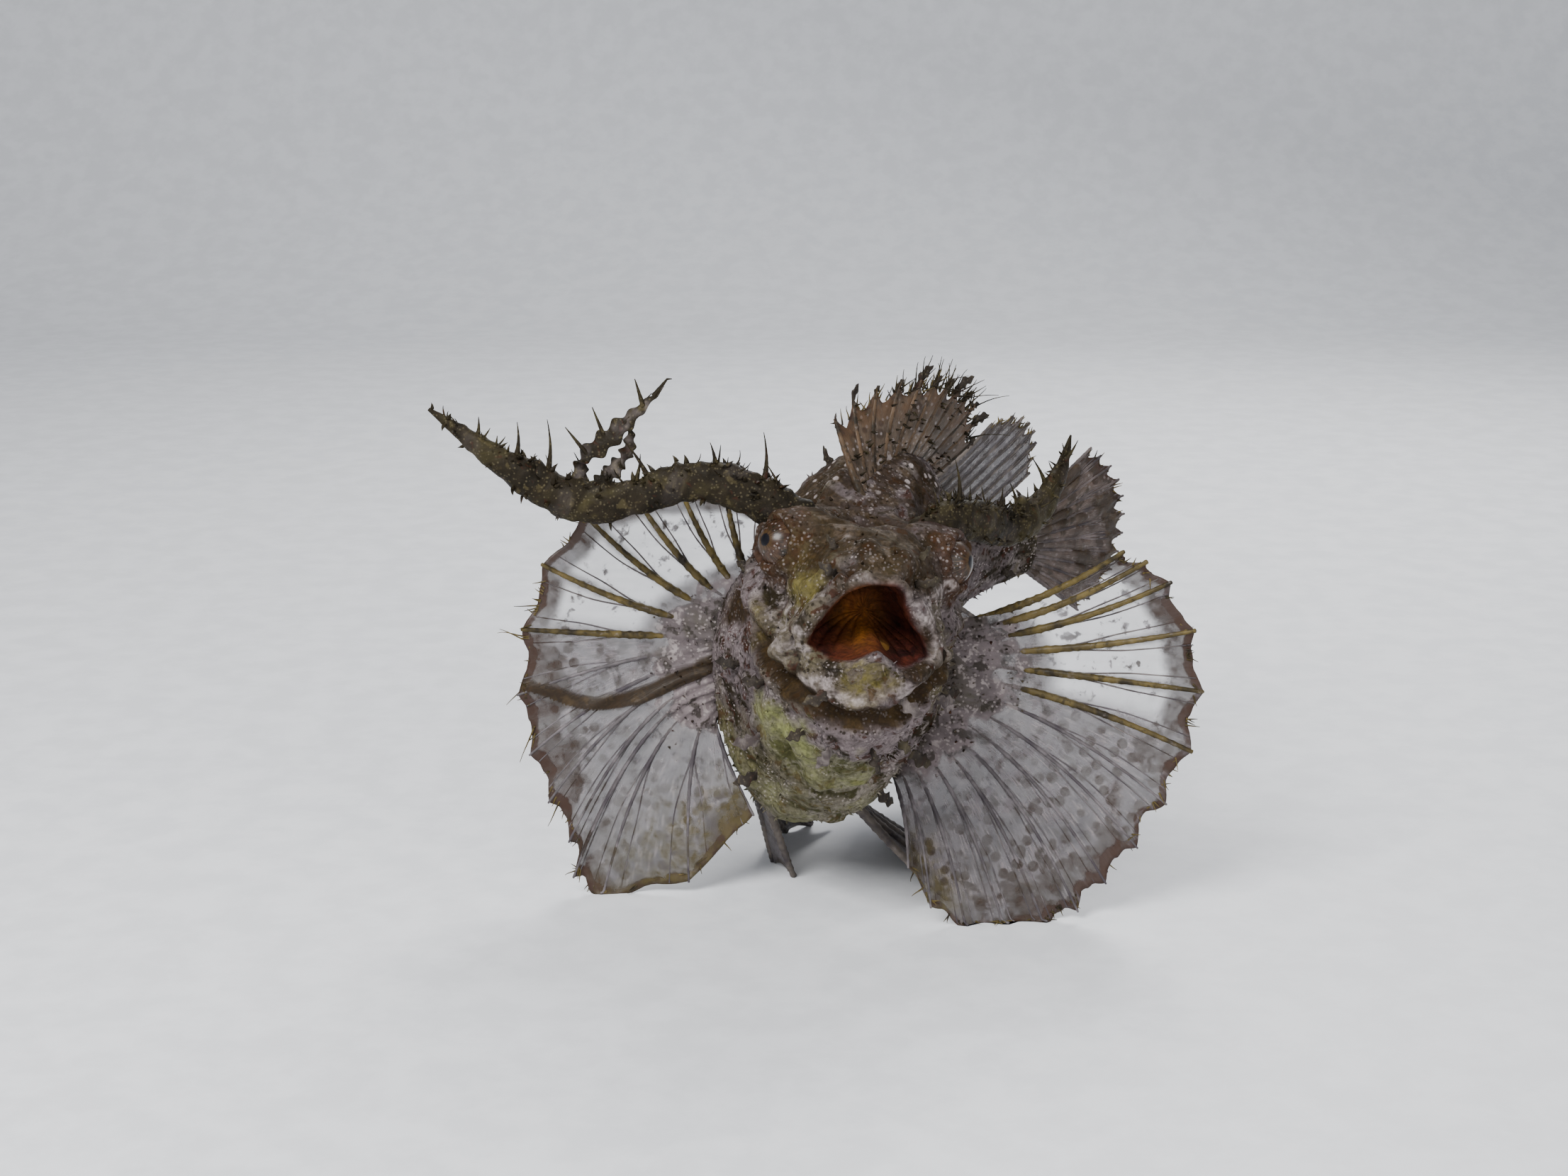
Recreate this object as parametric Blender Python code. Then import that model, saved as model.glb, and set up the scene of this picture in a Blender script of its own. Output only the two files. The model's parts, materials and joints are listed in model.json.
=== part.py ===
"""A rhinopias scorpionfish standing on its fins, life size, in named pieces.

Lengths here are millimetres, and MM turns them into Blender's metres. The fish is drawn straight,
in fish coordinates: s runs back from the snout, side is positive to the fish's own left, and height
is above the floor. placed() then bends the fish to its pose, head towards -Y and tail towards +X.
"""

import math
import random

import bmesh
import bpy
import numpy as np

MM = 0.001
GAP = 0.3  # clearance between neighbouring pieces
THINNEST = 0.52  # a membrane's full thickness

# Driving sizes of the body
BODY_LENGTH = 118.0  # snout to the root of the tail fin
NECK_S = 42.0  # where the gill opening parts head and trunk
WAIST_S = 83.0  # where the trunk becomes the tail stalk
TOP_LINE = (
    (0, 68), (8, 72.5), (20, 76), (32, 76), (42, 79), (54, 82.5), (66, 80.5), (82, 71.5),
    (100, 62), (118, 58.5),
)
BOTTOM_LINE = (
    (0, 48), (2, 44.5), (6, 40), (16, 32.5), (28, 21), (40, 13), (52, 12), (68, 17),
    (86, 31), (100, 40), (118, 44.5),
)
HALF_WIDTH = (
    (0, 10), (6, 12), (16, 14.5), (27, 17.5), (40, 19.5), (52, 18), (70, 12.5), (88, 7.8),
    (104, 4.8), (118, 3.2),
)
WIDEST_SHARE = ((0, 0.45), (20, 0.5), (40, 0.52), (60, 0.5), (118, 0.5))
ROUND_ABOVE = 2.15  # superellipse power of the back
ROUND_BELOW = 1.85  # and of the keel of the breast
BODY_SIDES = 26

# Bumps and hollows of the skin: s, side, height, reach, rise. Each is on both sides.
RELIEF = {
    "orbit": (25, 13.5, 68, 6.5, 2.6),
    "brow ridge": (26, 10.5, 75, 5.0, 2.4),
    "valley between the eyes": (27, 0.0, 77, 5.5, -5.0),
    "pit under the eye": (19, 14.0, 59, 5.0, -2.6),
    "cheek ridge": (29, 18.0, 57, 5.0, 1.8),
    "snout hump": (8, 3.0, 72, 4.0, 1.6),
    "hollow behind the eye": (37, 11.0, 71, 5.5, -2.4),
    "gill cover": (39, 19.5, 44, 8.0, 1.2),
    "jaw joint": (22, 12.5, 41, 5.0, 1.3),
}

# The pose: the body curls towards +X behind the head and rolls to its left, in degrees at s
EYE_PLACE = (12.6, -25.0)  # x and y of the midline at the eyes
HEADING = ((-20, -5), (28, -5), (40, -2), (60, 18), (80, 36), (118, 52), (150, 58))
ROLL = ((0, 9), (30, 9), (44, 15), (58, 23), (76, 22), (98, 10), (118, 4))
ROLL_HEIGHT = 58.0
MIDLINE_S = np.arange(-20.0, 165.0, 0.5)

# Mouth
MOUTH_HALF_WIDTH = 11.0
MOUTH_CORNER = (9.5, 56.5)  # s and height
UPPER_LIP = (3.5, 70.0)
LOWER_LIP = (0.8, 53.5)
LIP_RADIUS = 1.5
FACE_END_S = 17.0  # behind this the head is plain sections
THROAT = ((0.80, 7.0), (0.62, 12.0), (0.34, 17.0))  # the mouth's inner rings: share of the rim, depth
JAW_HINGE = (24.0, 27.0)  # s and height of the lower end of the jaw's seam

# Eyes
EYE_RADIUS = 4.8
EYE_CENTRE = (25.0, 14.0, 69.0)
EYE_LOOK = (-0.52, 0.82, 0.22)  # along s, side and height
LID_RADIUS = 1.0
LID_REACH = 2.2  # how far out from the eye's centre the lid lies

# Brow tentacles: world x, y, z of the midline, from inside the head to the tip
BROW_RIGHT = (
    (4, -21, 71.5), (-5.5, -21, 78.6), (-15, -20.5, 80.6), (-26, -19.5, 77.6),
    (-36, -18.5, 76.6), (-47, -18.5, 82.4), (-61.5, -18.5, 93),
)
BROW_LEFT = (
    (23, -21, 68), (28.5, -19, 73), (34.5, -13, 71.5), (41, -4, 68.5), (47, 3, 70.5),
    (51, 8, 75.5), (53.5, 13, 82),
)
BROW_HALF_DEPTH = ((0, 3.6), (0.25, 3.7), (0.45, 3.2), (0.58, 3.7), (0.75, 2.9), (0.88, 1.7), (1, 0.28))
BROW_FLATNESS = 0.62
BROW_CUTS = (0.36, 0.625)  # where each tentacle parts into root, middle and tip
BROW_PARTS = ("root", "middle", "tip")

# Threads on the brow tentacles: share along the tentacle, length, lean along x and y
BROW_THREADS = {
    "right": (
        (0.13, 8, 0, 0.1),
        (0.25, 3.5, -0.2, 0),
        (0.45, 4.5, 0.2, 0),
        (0.665, 9, 0.02, 0),
        (0.75, 4.5, 0.1, 0.2),
        (0.86, 3, 0.3, 0),
    ),
    "left": (
        (0.2, 7, -0.1, 0),
        (0.42, 4, 0.2, 0),
        (0.56, 4, -0.3, 0),
        (0.74, 5, -0.5, -0.2),
        (0.87, 3.5, 0.6, 0),
    ),
}
THREAD_RADIUS = 0.55
SPIKE_TIP = 0.12  # radius at the point of a thread or spine
BRANCH_SHARE = 0.54  # where the side branch leaves the right tentacle
BRANCH = ((-34.0, -18.5, 78.0), (-31.0, -18.5, 85.5), (-26.0, -18.5, 90.5), (-20.7, -18.5, 97.0))
BRANCH_THREADS = ((0.45, 5.0, -0.4, 0.1), (0.62, 4.5, 0.9, 0.0), (0.8, 4.0, -0.3, 0.0))

# Leafy flaps and spines on both sides: node, s, angle round the body in degrees, length, half width
FLAPS = (
    ("jaw", 5.0, -58, 5.0, 1.1),
    ("jaw", 9.0, -72, 4.5, 1.0),
    ("jaw", 12.0, -50, 3.5, 0.9),
    ("head", 8.5, 52, 3.5, 0.8),
    ("head", 13.0, 60, 3.0, 0.7),
    ("head", 20.0, -18, 4.0, 1.0),
    ("head", 26.0, -38, 5.5, 1.2),
    ("head", 31.0, -8, 4.0, 1.0),
    ("head", 33.0, -52, 5.0, 1.1),
    ("head", 37.0, 22, 3.5, 0.9),
    ("trunk", 52.0, 55, 4.0, 1.0),
    ("trunk", 60.0, 14, 4.5, 1.1),
    ("trunk", 64.0, -28, 5.0, 1.2),
    ("trunk", 72.0, 22, 4.0, 1.0),
    ("tail_stalk", 88.0, -10, 4.0, 1.0),
    ("tail_stalk", 98.0, 28, 3.5, 0.9),
    ("tail_stalk", 108.0, -25, 3.0, 0.8),
)
FLAP_LEAN = 0.7  # how far a flap leans back for each 1 outwards
SPINES = (  # on the cheek and nape: s, angle, length
    (32.0, 2, 3.0), (34.5, -14, 3.2), (35.0, -30, 2.8), (37.5, 48, 2.6),
)
NOSTRILS = ((11.5, 58, 0.95), (15.0, 50, 0.75))  # s, angle, radius

# Pectoral fins: the fan's middle, ray tips as (angle above level, reach), root line and depth
PECTORAL_RAYS = 15
ROOT_SINK = 4.0  # how deep paired fins are drawn inside the body before they are cut
PECTORAL_ROOT = ((43.0, 56.0), (46.5, 27.5))  # s and height of the root's top and foot
PECTORAL = {
    "right": {
        "out": -1,
        "middle": (-10.0, 40.0),
        "reach": ((102, 32), (76, 36), (50, 41), (15, 39), (-20, 39), (-45, 42), (-60, 48), (-100, 25)),
        "depth": ((0, 0.0), (0.5, -8.0), (0.85, -11.0), (1, -10.0)),
    },
    "left": {
        "out": 1,
        "middle": (29.0, 36.0),
        "reach": ((46, 44), (34, 47), (8, 46), (-20, 42), (-45, 41), (-64, 42), (-84, 38), (-106, 25)),
        "depth": ((0, -19.0), (0.5, -22.0), (0.85, -26.0), (1, -27.5)),
    },
}

# Median fins: root s, ray length, backward lean and tilt to the fish's left in degrees
SPINY_DORSAL = {
    "s": (36.0, 76.5), "count": 12,
    "length": ((0, 15), (0.15, 16), (0.35, 16), (0.6, 16), (0.85, 15), (1, 11)),
    "lean": (20, 40), "tilt": (-36, 30),
}
SOFT_DORSAL = {
    "s": (80.0, 103.0), "count": 9, "length": ((0, 17), (0.35, 22), (0.7, 21), (1, 13)),
    "lean": (42, 58), "tilt": (26, 6),
}
ANAL = {
    "s": (80.0, 98.0), "count": 7, "length": ((0, 13), (0.35, 22), (0.7, 24), (1, 17)),
    "lean": (24, 56), "tilt": (0, 0),
}
CAUDAL = {
    "count": 12, "length": ((0, 20), (0.3, 26), (0.5, 27), (0.7, 26), (1, 20)),
    "spread": (36, -36), "root": 6.0,
}
TIP_FLAPS = (1, 3, 5, 7, 9)  # the dorsal spines that end in a flap
TIP_FLAP = (4.5, 0.95)  # length and half width
SPINE_WEB = 0.7  # how far up the spines the membrane reaches
MEDIAN_SINK = 3.0  # how deep a fin's root is drawn inside the body before it is cut

# Pelvic fins: ray tips in world x, y, z; the last third of each lies on the floor
PELVIC_ROOT_S = (40.0, 50.0)
PELVIC_ROOT_SIDE = 8.0
PELVIC_ROOT_RISE = 8.0  # above the belly
PELVIC = {
    "left": (
        (31, -14, -0.4),
        (33.5, -6, -0.5),
        (33.5, 3, -0.5),
        (31, 12, -0.5),
        (26, 19, -0.4),
        (20.5, 20, 2),
    ),
    "right": (
        (2, -2, -0.4),
        (-2, 6, -0.5),
        (-2.5, 15, -0.5),
        (0.5, 22, -0.5),
        (5.5, 26, -0.4),
        (9.5, 24, 2),
    ),
}

MATERIALS = {  # colour, roughness
    "skin": ((0.23, 0.19, 0.24), 0.6),
    "tentacle": ((0.075, 0.075, 0.06), 0.55),
    "membrane": ((0.28, 0.26, 0.36), 0.4),
    "eye": ((0.16, 0.11, 0.08), 0.1),
}


def curve_through(points):
    """A function of the first column that passes smoothly through the rest, level past both ends."""
    table = np.array(points, float)
    keys, values = table[:, 0], table[:, 1:]
    slopes = np.gradient(values, keys, axis=0)

    def at(key):
        key = float(np.clip(key, keys[0], keys[-1]))
        i = int(np.clip(np.searchsorted(keys, key) - 1, 0, len(keys) - 2))
        step = keys[i + 1] - keys[i]
        t = (key - keys[i]) / step
        found = (
            (2 * t**3 - 3 * t**2 + 1) * values[i]
            + (t**3 - 2 * t**2 + t) * step * slopes[i]
            + (3 * t**2 - 2 * t**3) * values[i + 1]
            + (t**3 - t**2) * step * slopes[i + 1]
        )
        return float(found[0]) if len(found) == 1 else found

    return at


def path_through(points):
    """A function from 0 to 1 along a smooth path through 3D points, even in length."""
    points = np.array(points, float)
    spans = np.linalg.norm(np.diff(points, axis=0), axis=1)
    keys = np.concatenate([[0], np.cumsum(spans)]) / spans.sum()
    return curve_through(np.column_stack([keys, points]))


top_line = curve_through(TOP_LINE)
bottom_line = curve_through(BOTTOM_LINE)
half_width = curve_through(HALF_WIDTH)
widest_share = curve_through(WIDEST_SHARE)
heading_at = curve_through(HEADING)
roll_at = curve_through(ROLL)


def midline_places():
    """World x and y of the body's middle at each of MIDLINE_S, added up along its heading."""
    heading = np.radians([heading_at(s) for s in MIDLINE_S])
    heading = (heading[1:] + heading[:-1]) / 2
    steps = np.diff(MIDLINE_S)[:, None] * np.column_stack([np.sin(heading), np.cos(heading)])
    places = np.concatenate([np.zeros((1, 2)), np.cumsum(steps, axis=0)])
    return places - places[np.searchsorted(MIDLINE_S, EYE_CENTRE[0])] + EYE_PLACE


midline = midline_places()


def placed(point):
    """World x, y, z of a point in fish coordinates."""
    s, side, height = point
    roll, heading = math.radians(roll_at(s)), math.radians(heading_at(s))
    up = height - ROLL_HEIGHT
    side, up = side * math.cos(roll) + up * math.sin(roll), up * math.cos(roll) - side * math.sin(roll)
    x, y = (float(np.interp(s, MIDLINE_S, column)) for column in midline.T)
    return np.array([x + side * math.cos(heading), y - side * math.sin(heading), ROLL_HEIGHT + up])


def relief(s, side, height):
    """How far the skin stands proud of the plain section there."""
    total = 0.0
    for at, out, up, reach, rise in RELIEF.values():
        apart = (s - at) ** 2 + (abs(side) - out) ** 2 + (height - up) ** 2
        total += rise * math.exp(-apart / reach**2)
    return total


def skin(s, angle, extra=0.0):
    """Side and height of the skin at s, at an angle round the body from the fish's left, over the top."""
    top, bottom = top_line(s), bottom_line(s)
    middle = bottom + widest_share(s) * (top - bottom)
    across, up = math.cos(angle), math.sin(angle)
    power = 2 / (ROUND_ABOVE if up > 0 else ROUND_BELOW)
    side = half_width(s) * math.copysign(abs(across) ** power, across)
    rise = (top - middle if up > 0 else middle - bottom) * math.copysign(abs(up) ** power, up)
    away = math.hypot(side, rise)
    grown = (away + extra + relief(s, side, middle + rise)) / away
    return side * grown, middle + rise * grown


def mouth_rim(angle):
    """s, side and height of the mouth's edge at an angle round it."""
    across, up = math.cos(angle), math.sin(angle)
    lip_s, lip_height = UPPER_LIP if up > 0 else LOWER_LIP
    share = up * up
    s = MOUTH_CORNER[0] * (1 - share) + lip_s * share
    height = MOUTH_CORNER[1] + (lip_height - MOUTH_CORNER[1]) * abs(up) ** 0.9
    return np.array([s, MOUTH_HALF_WIDTH * math.copysign(abs(across) ** 0.9, across), height])


def lip_point(angle, turn):
    """A point on the lip's round edge: turn 0 is outermost, 90 in front, 180 inside the mouth."""
    rim = mouth_rim(angle)
    out = rim - np.array([rim[0], 0.0, MOUTH_CORNER[1] + 3.0])
    out /= np.linalg.norm(out)
    turn = math.radians(turn)
    return rim + LIP_RADIUS * (math.cos(turn) * out - math.sin(turn) * np.array([1.0, 0.0, 0.0]))


def throat_point(angle, share, depth):
    """A point on one of the mouth's inner rings."""
    rim = mouth_rim(angle)
    middle = np.array([0.0, MOUTH_CORNER[1] + 4.0])
    side, height = middle + (rim[1:] - middle) * share
    return np.array([rim[0] * share + depth, side, height])


def face_point(angle, share):
    """A point on the face, share 0 at the lip and 1 where the plain sections begin."""
    rim = mouth_rim(angle)
    s = rim[0] + (FACE_END_S - rim[0]) * share
    weight = 1 - (1 - min(1.0, share / 0.5)) ** 2
    side, height = skin(s, angle)
    return np.array([s, rim[1] + (side - rim[1]) * weight, rim[2] + (height - rim[2]) * weight])


def surface(s, angle):
    """World point and outward normal on the outside of the head or body."""

    def at(s, angle):
        rim = mouth_rim(angle)
        if s < FACE_END_S:
            return placed(face_point(angle, max(0.0, (s - rim[0]) / (FACE_END_S - rim[0]))))
        return placed((s, *skin(s, angle)))

    here = at(s, angle)
    normal = np.cross(at(s + 0.3, angle) - here, at(s, angle + 0.03) - here)
    inside = placed((max(s, 6.0), 0.0, (top_line(s) + bottom_line(s)) / 2))
    return here, normal / np.linalg.norm(normal) * math.copysign(1, np.dot(normal, here - inside))


def angles(count):
    return [2 * math.pi * k / count for k in range(count)]


def section_ring(s, sides=BODY_SIDES, extra=0.0):
    return [placed((s, *skin(s, angle, extra))) for angle in angles(sides)]


def ring_places(node):
    """The s of each plain section of the head, the trunk or the tail stalk."""
    start, end, count = {
        "head": (FACE_END_S, NECK_S - GAP / 2, 8),
        "trunk": (NECK_S + GAP / 2, WAIST_S - GAP / 2, 10),
        "tail_stalk": (WAIST_S + GAP / 2, BODY_LENGTH, 7),
    }[node]
    return np.linspace(start, end, count)


def head_rings():
    """The head's rings from the throat, out over the lips and back to the gill opening."""
    turn_angles = angles(BODY_SIDES)
    rings = [[placed(throat_point(a, *ring)) for a in turn_angles] for ring in reversed(THROAT)]
    rings += [[placed(lip_point(a, turn)) for a in turn_angles] for turn in (180, 120, 60, 0)]
    rings += [[placed(face_point(a, share)) for a in turn_angles] for share in (0.14, 0.3, 0.5, 0.75)]
    rings += [section_ring(s) for s in ring_places("head")]
    return rings


def mesh_object(name, points, faces, material):
    """A new object from points in millimetres, its faces turned outwards."""
    mesh = bpy.data.meshes.new(name)
    mesh.from_pydata([tuple(float(c) * MM for c in p) for p in points], [], faces)
    work = bmesh.new()
    work.from_mesh(mesh)
    bmesh.ops.remove_doubles(work, verts=work.verts, dist=1e-7)
    bmesh.ops.recalc_face_normals(work, faces=work.faces)
    if work.calc_volume(signed=True) < 0:
        bmesh.ops.reverse_faces(work, faces=work.faces)
    work.to_mesh(mesh)
    work.free()
    mesh.materials.append(materials[material])
    obj = bpy.data.objects.new(name, mesh)
    bpy.context.scene.collection.objects.link(obj)
    return obj


def loft(name, rings, material):
    """A closed skin over rings of as many points, split into triangles the same way each time."""
    count = len(rings[0])
    points = [p for ring in rings for p in ring]
    faces = [tuple(range(count))[::-1]]
    for r in range(len(rings) - 1):
        for k in range(count):
            a, b = r * count + k, r * count + (k + 1) % count
            faces += [(a, b, b + count), (a, b + count, a + count)]
    last = (len(rings) - 1) * count
    faces.append(tuple(range(last, last + count)))
    return mesh_object(name, points, faces, material)


def evaluated(obj):
    """Applies the object's modifiers."""
    graph = bpy.context.evaluated_depsgraph_get()
    mesh = bpy.data.meshes.new_from_object(obj.evaluated_get(graph))
    obj.modifiers.clear()
    old, obj.data = obj.data, mesh
    bpy.data.meshes.remove(old)
    return obj


def keep_largest(obj):
    """Drops all but the largest closed surface."""
    work = bmesh.new()
    work.from_mesh(obj.data)
    bmesh.ops.triangulate(work, faces=work.faces)
    left, groups = set(work.faces), []
    while left:
        group, edge_of = set(), [left.pop()]
        while edge_of:
            face = edge_of.pop()
            group.add(face)
            for edge in face.edges:
                for other in edge.link_faces:
                    if other in left:
                        left.discard(other)
                        edge_of.append(other)
        groups.append(group)
    largest = max(groups, key=lambda g: sum(face.calc_area() for face in g))
    bmesh.ops.delete(work, geom=[f for f in work.faces if f not in largest], context="FACES")
    work.to_mesh(obj.data)
    work.free()
    return obj


def combine(obj, others, operation):
    """One Boolean with the other closed objects, which are then removed."""
    group = bpy.data.collections.new("joined")
    bpy.context.scene.collection.children.link(group)
    for other in others:
        group.objects.link(other)
    modifier = obj.modifiers.new("joined", "BOOLEAN")
    modifier.operation = operation
    modifier.operand_type = "COLLECTION"
    modifier.collection = group
    modifier.solver = "MANIFOLD"
    evaluated(obj)
    for other in others:
        bpy.data.objects.remove(other)
    bpy.data.collections.remove(group)
    return keep_largest(obj)


def body_cutter():
    """The whole body grown by the gap, which trims the roots of what stands on it."""
    places = [6.0, 12.0, BODY_LENGTH + GAP]
    for node in ("head", "trunk", "tail_stalk"):
        places += list(ring_places(node))
    rings = [section_ring(s, extra=GAP) for s in sorted(places)]
    return loft("body cutter", rings, "skin")


def box_cutter(low, high):
    points = [(x, y, z) for x in (low[0], high[0]) for y in (low[1], high[1]) for z in (low[2], high[2])]
    faces = [(0, 1, 3, 2), (4, 6, 7, 5), (0, 4, 5, 1), (2, 3, 7, 6), (0, 2, 6, 4), (1, 5, 7, 3)]
    return mesh_object("box cutter", points, faces, "skin")


def floor_cutter():
    return box_cutter((-200, -200, -30), (200, 200, 0))


def vane(name, middle, half_thickness, columns, rows, material="membrane"):
    """A thin curved plate on a grid, split into triangles alike on both faces.

    middle and half_thickness are functions of a column's and a row's value.
    """
    grid = np.array([[middle(u, v) for v in rows] for u in columns])
    along_u = np.gradient(grid, axis=0)
    along_v = np.gradient(grid, axis=1)
    normal = np.cross(along_u, along_v)
    normal /= np.linalg.norm(normal, axis=2, keepdims=True)
    half = np.array([[half_thickness(u, v) for v in rows] for u in columns])[..., None]
    wide, long = len(columns), len(rows)
    points = [p for face in (grid + normal * half, grid - normal * half) for row in face for p in row]
    back = wide * long
    faces = []
    for i in range(wide - 1):
        for j in range(long - 1):
            a, b = i * long + j, (i + 1) * long + j
            c, d = b + 1, a + 1
            faces += [(a, b, c), (a, c, d), (back + a, back + c, back + b), (back + a, back + d, back + c)]
    loop = [i * long for i in range(wide)] + [(wide - 1) * long + j for j in range(1, long)]
    loop += [i * long + long - 1 for i in range(wide - 2, -1, -1)] + [j for j in range(long - 2, 0, -1)]
    for a, b in zip(loop, loop[1:] + loop[:1]):
        faces += [(a, back + a, back + b), (a, back + b, b)]
    return mesh_object(name, points, faces, material)


def ray_columns(count):
    """Column values of a fin with so many rays: each ray's crest, and the membrane beside it."""
    columns = [0.0]
    for i in range(count - 1):
        columns += [i + 0.28, i + 0.72, i + 1.0]
    return columns


def on_crest(column):
    return abs(column - round(column)) < 1e-6


def ridges(root, tip):
    """A fin's half thickness by column and row: thick along the rays, thin between them."""
    return lambda column, row: root + (tip - root) * row if on_crest(column) else THINNEST / 2


def tube(name, path, half, flatness=1.0, sides=10, rings=8, start=0.0, end=1.0, up=(0, 0, 1)):
    """A tapered tube along a path, flattened across it."""
    made = []
    for share in np.linspace(start, end, rings):
        here = np.array(path(share))
        ahead = np.array(path(min(1.0, share + 0.01))) - np.array(path(max(0.0, share - 0.01)))
        ahead /= np.linalg.norm(ahead)
        across = np.cross(ahead, up)
        across /= np.linalg.norm(across)
        over = np.cross(across, ahead)
        size = half(share)
        wide = flatness * across
        made.append([here + size * (math.sin(a) * over + math.cos(a) * wide) for a in angles(sides)])
    return loft(name, made, "tentacle")


def spike(root, tip, radius, rings=4):
    """A tapered spine or thread from root to tip."""
    root, tip = np.array(root, float), np.array(tip, float)
    path = path_through([root, (root + tip) / 2, tip])
    steep = abs((tip - root)[2]) > 0.8 * np.linalg.norm(tip - root)
    up = (0, 1, 0) if steep else (0, 0, 1)
    return tube("spike", path, lambda share: radius * (1 - share) + SPIKE_TIP, 1.0, 5, rings, up=up)


def make_materials():
    made = {}
    for name, (colour, roughness) in MATERIALS.items():
        material = bpy.data.materials.new(name)
        material.use_nodes = True
        shader = material.node_tree.nodes["Principled BSDF"]
        shader.inputs["Base Color"].default_value = (*colour, 1)
        shader.inputs["Roughness"].default_value = roughness
        shader.inputs["Metallic"].default_value = 0.0
        made[name] = material
    return made


def sphere(name, centre, radius, segments=16, rings=10):
    mesh = bpy.data.meshes.new(name)
    work = bmesh.new()
    bmesh.ops.create_uvsphere(work, u_segments=segments, v_segments=rings, radius=radius * MM)
    bmesh.ops.translate(work, verts=work.verts, vec=[c * MM for c in centre])
    work.to_mesh(mesh)
    work.free()
    mesh.materials.append(materials["eye"])
    obj = bpy.data.objects.new(name, mesh)
    bpy.context.scene.collection.objects.link(obj)
    return obj


def mirrored(point, out):
    return (point[0], point[1] * out, point[2])


def eye_centre(out):
    return placed(mirrored(EYE_CENTRE, out))


def eye_look(out):
    ahead = placed(mirrored(np.array(EYE_CENTRE) + np.array(EYE_LOOK), out)) - eye_centre(out)
    return ahead / np.linalg.norm(ahead)


def lid(out, extra=0.0):
    """The raised rim of skin round an eye."""
    look = eye_look(out)
    centre = eye_centre(out) + look * LID_REACH
    reach = math.sqrt(EYE_RADIUS**2 - LID_REACH**2) + 0.5 * LID_RADIUS
    thick = LID_RADIUS + extra
    across = np.cross(look, (0, 0, 1))
    across /= np.linalg.norm(across)
    over = np.cross(across, look)
    points, faces, around, sides = [], [], 18, 6
    for a in angles(around):
        spoke = math.cos(a) * across + math.sin(a) * over
        for b in angles(sides):
            points.append(centre + spoke * (reach + thick * math.cos(b)) + look * thick * math.sin(b))
    for i in range(around):
        for j in range(sides):
            a, b = i * sides + j, i * sides + (j + 1) % sides
            c, d = ((i + 1) % around) * sides + (j + 1) % sides, ((i + 1) % around) * sides + j
            faces.append((a, b, c, d))
    return mesh_object("lid", points, faces, "skin")


def jaw_wedge(inset):
    """The space in front of and under the jaw's seam, as a prism right through the head."""
    corner_s, corner_height = MOUTH_CORNER
    outline = [
        (-12.0, corner_height - inset),
        (corner_s - inset, corner_height - inset),
        (JAW_HINGE[0] - inset, JAW_HINGE[1] + inset),
        (JAW_HINGE[0] - 6.0 - inset, 0.0),
        (-12.0, 0.0),
    ]
    rings = [[placed((s, side, height)) for s, height in outline] for side in (-40.0, 40.0)]
    return loft("jaw wedge", rings, "skin")


def both_sides(angle):
    return math.radians(angle), math.pi - math.radians(angle)


def flap(s, angle, length, half_width):
    """A leafy flap of skin that leans back."""
    here, normal = surface(s, angle)
    back = placed((s + 1, 0, 60)) - placed((s, 0, 60))
    tip = here + (normal + FLAP_LEAN * back) / math.hypot(1, FLAP_LEAN) * length
    path = path_through([here - normal * 1.2, here + normal * length * 0.3, tip])
    width = curve_through(((0, 0.8), (0.35, 0.9), (0.7, 1.0), (1, 0.25)))
    return tube("flap", path, lambda share: half_width * width(share), 0.36, 5, 4)


def flaps_of(node):
    wanted = [row[1:] for row in FLAPS if row[0] == node]
    return [flap(s, a, length, wide) for s, angle, length, wide in wanted for a in both_sides(angle)]


def spine(s, angle, length):
    here, normal = surface(s, angle)
    back = placed((s + 1, 0, 60)) - placed((s, 0, 60))
    return spike(here - normal, here + (normal + 0.9 * back) / 1.35 * length, 0.9, rings=3)


def make_head():
    """The head with its lids, eye sockets and open mouth, and the lower jaw parted from it."""
    head = loft("head", head_rings(), "skin")
    combine(head, [lid(-1), lid(1)], "UNION")
    combine(head, [spine(s, a, length) for s, angle, length in SPINES for a in both_sides(angle)], "UNION")
    hollows = [sphere("socket", eye_centre(out), EYE_RADIUS + GAP) for out in (-1, 1)]
    for s, angle, radius in NOSTRILS:
        hollows += [sphere("nostril", surface(s, a)[0], radius, 8, 5) for a in both_sides(angle)]
    combine(head, hollows, "DIFFERENCE")
    jaw = head.copy()
    jaw.data = head.data.copy()
    jaw.name = "jaw"
    bpy.context.scene.collection.objects.link(jaw)
    combine(jaw, [jaw_wedge(GAP)], "INTERSECT")
    combine(head, [jaw_wedge(0.0)], "DIFFERENCE")
    combine(head, flaps_of("head"), "UNION")
    combine(jaw, flaps_of("jaw"), "UNION")


def make_body():
    for name in ("trunk", "tail_stalk"):
        piece = loft(name, [section_ring(s) for s in ring_places(name)], "skin")
        combine(piece, flaps_of(name), "UNION")


def make_eyes():
    for side_name, out in (("right", -1), ("left", 1)):
        eye = sphere("eye_" + side_name, eye_centre(out), EYE_RADIUS)
        eye.data.shade_smooth()


def threads(path, table, half, start=0.0, end=1.0):
    """Upright threads on a tentacle between two shares of its length."""
    made = []
    for share, length, lean_x, lean_y in table:
        if start < share < end:
            here = np.array(path(share))
            sink = max(0.0, half(share) - 1.2)
            root = here + np.array([0, 0, sink])
            made.append(spike(root, root + (length + 1.2) * np.array([lean_x, lean_y, 1.0]), THREAD_RADIUS))
    return made


def side_branch():
    """The leafy side branch of the right brow tentacle, with its own threads."""
    path = path_through(BRANCH)
    half = curve_through(((0, 1.5), (0.4, 1.6), (0.75, 1.0), (1, 0.2)))
    return [tube("branch", path, half, 0.5, 8, 7), *threads(path, BRANCH_THREADS, half)]


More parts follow.
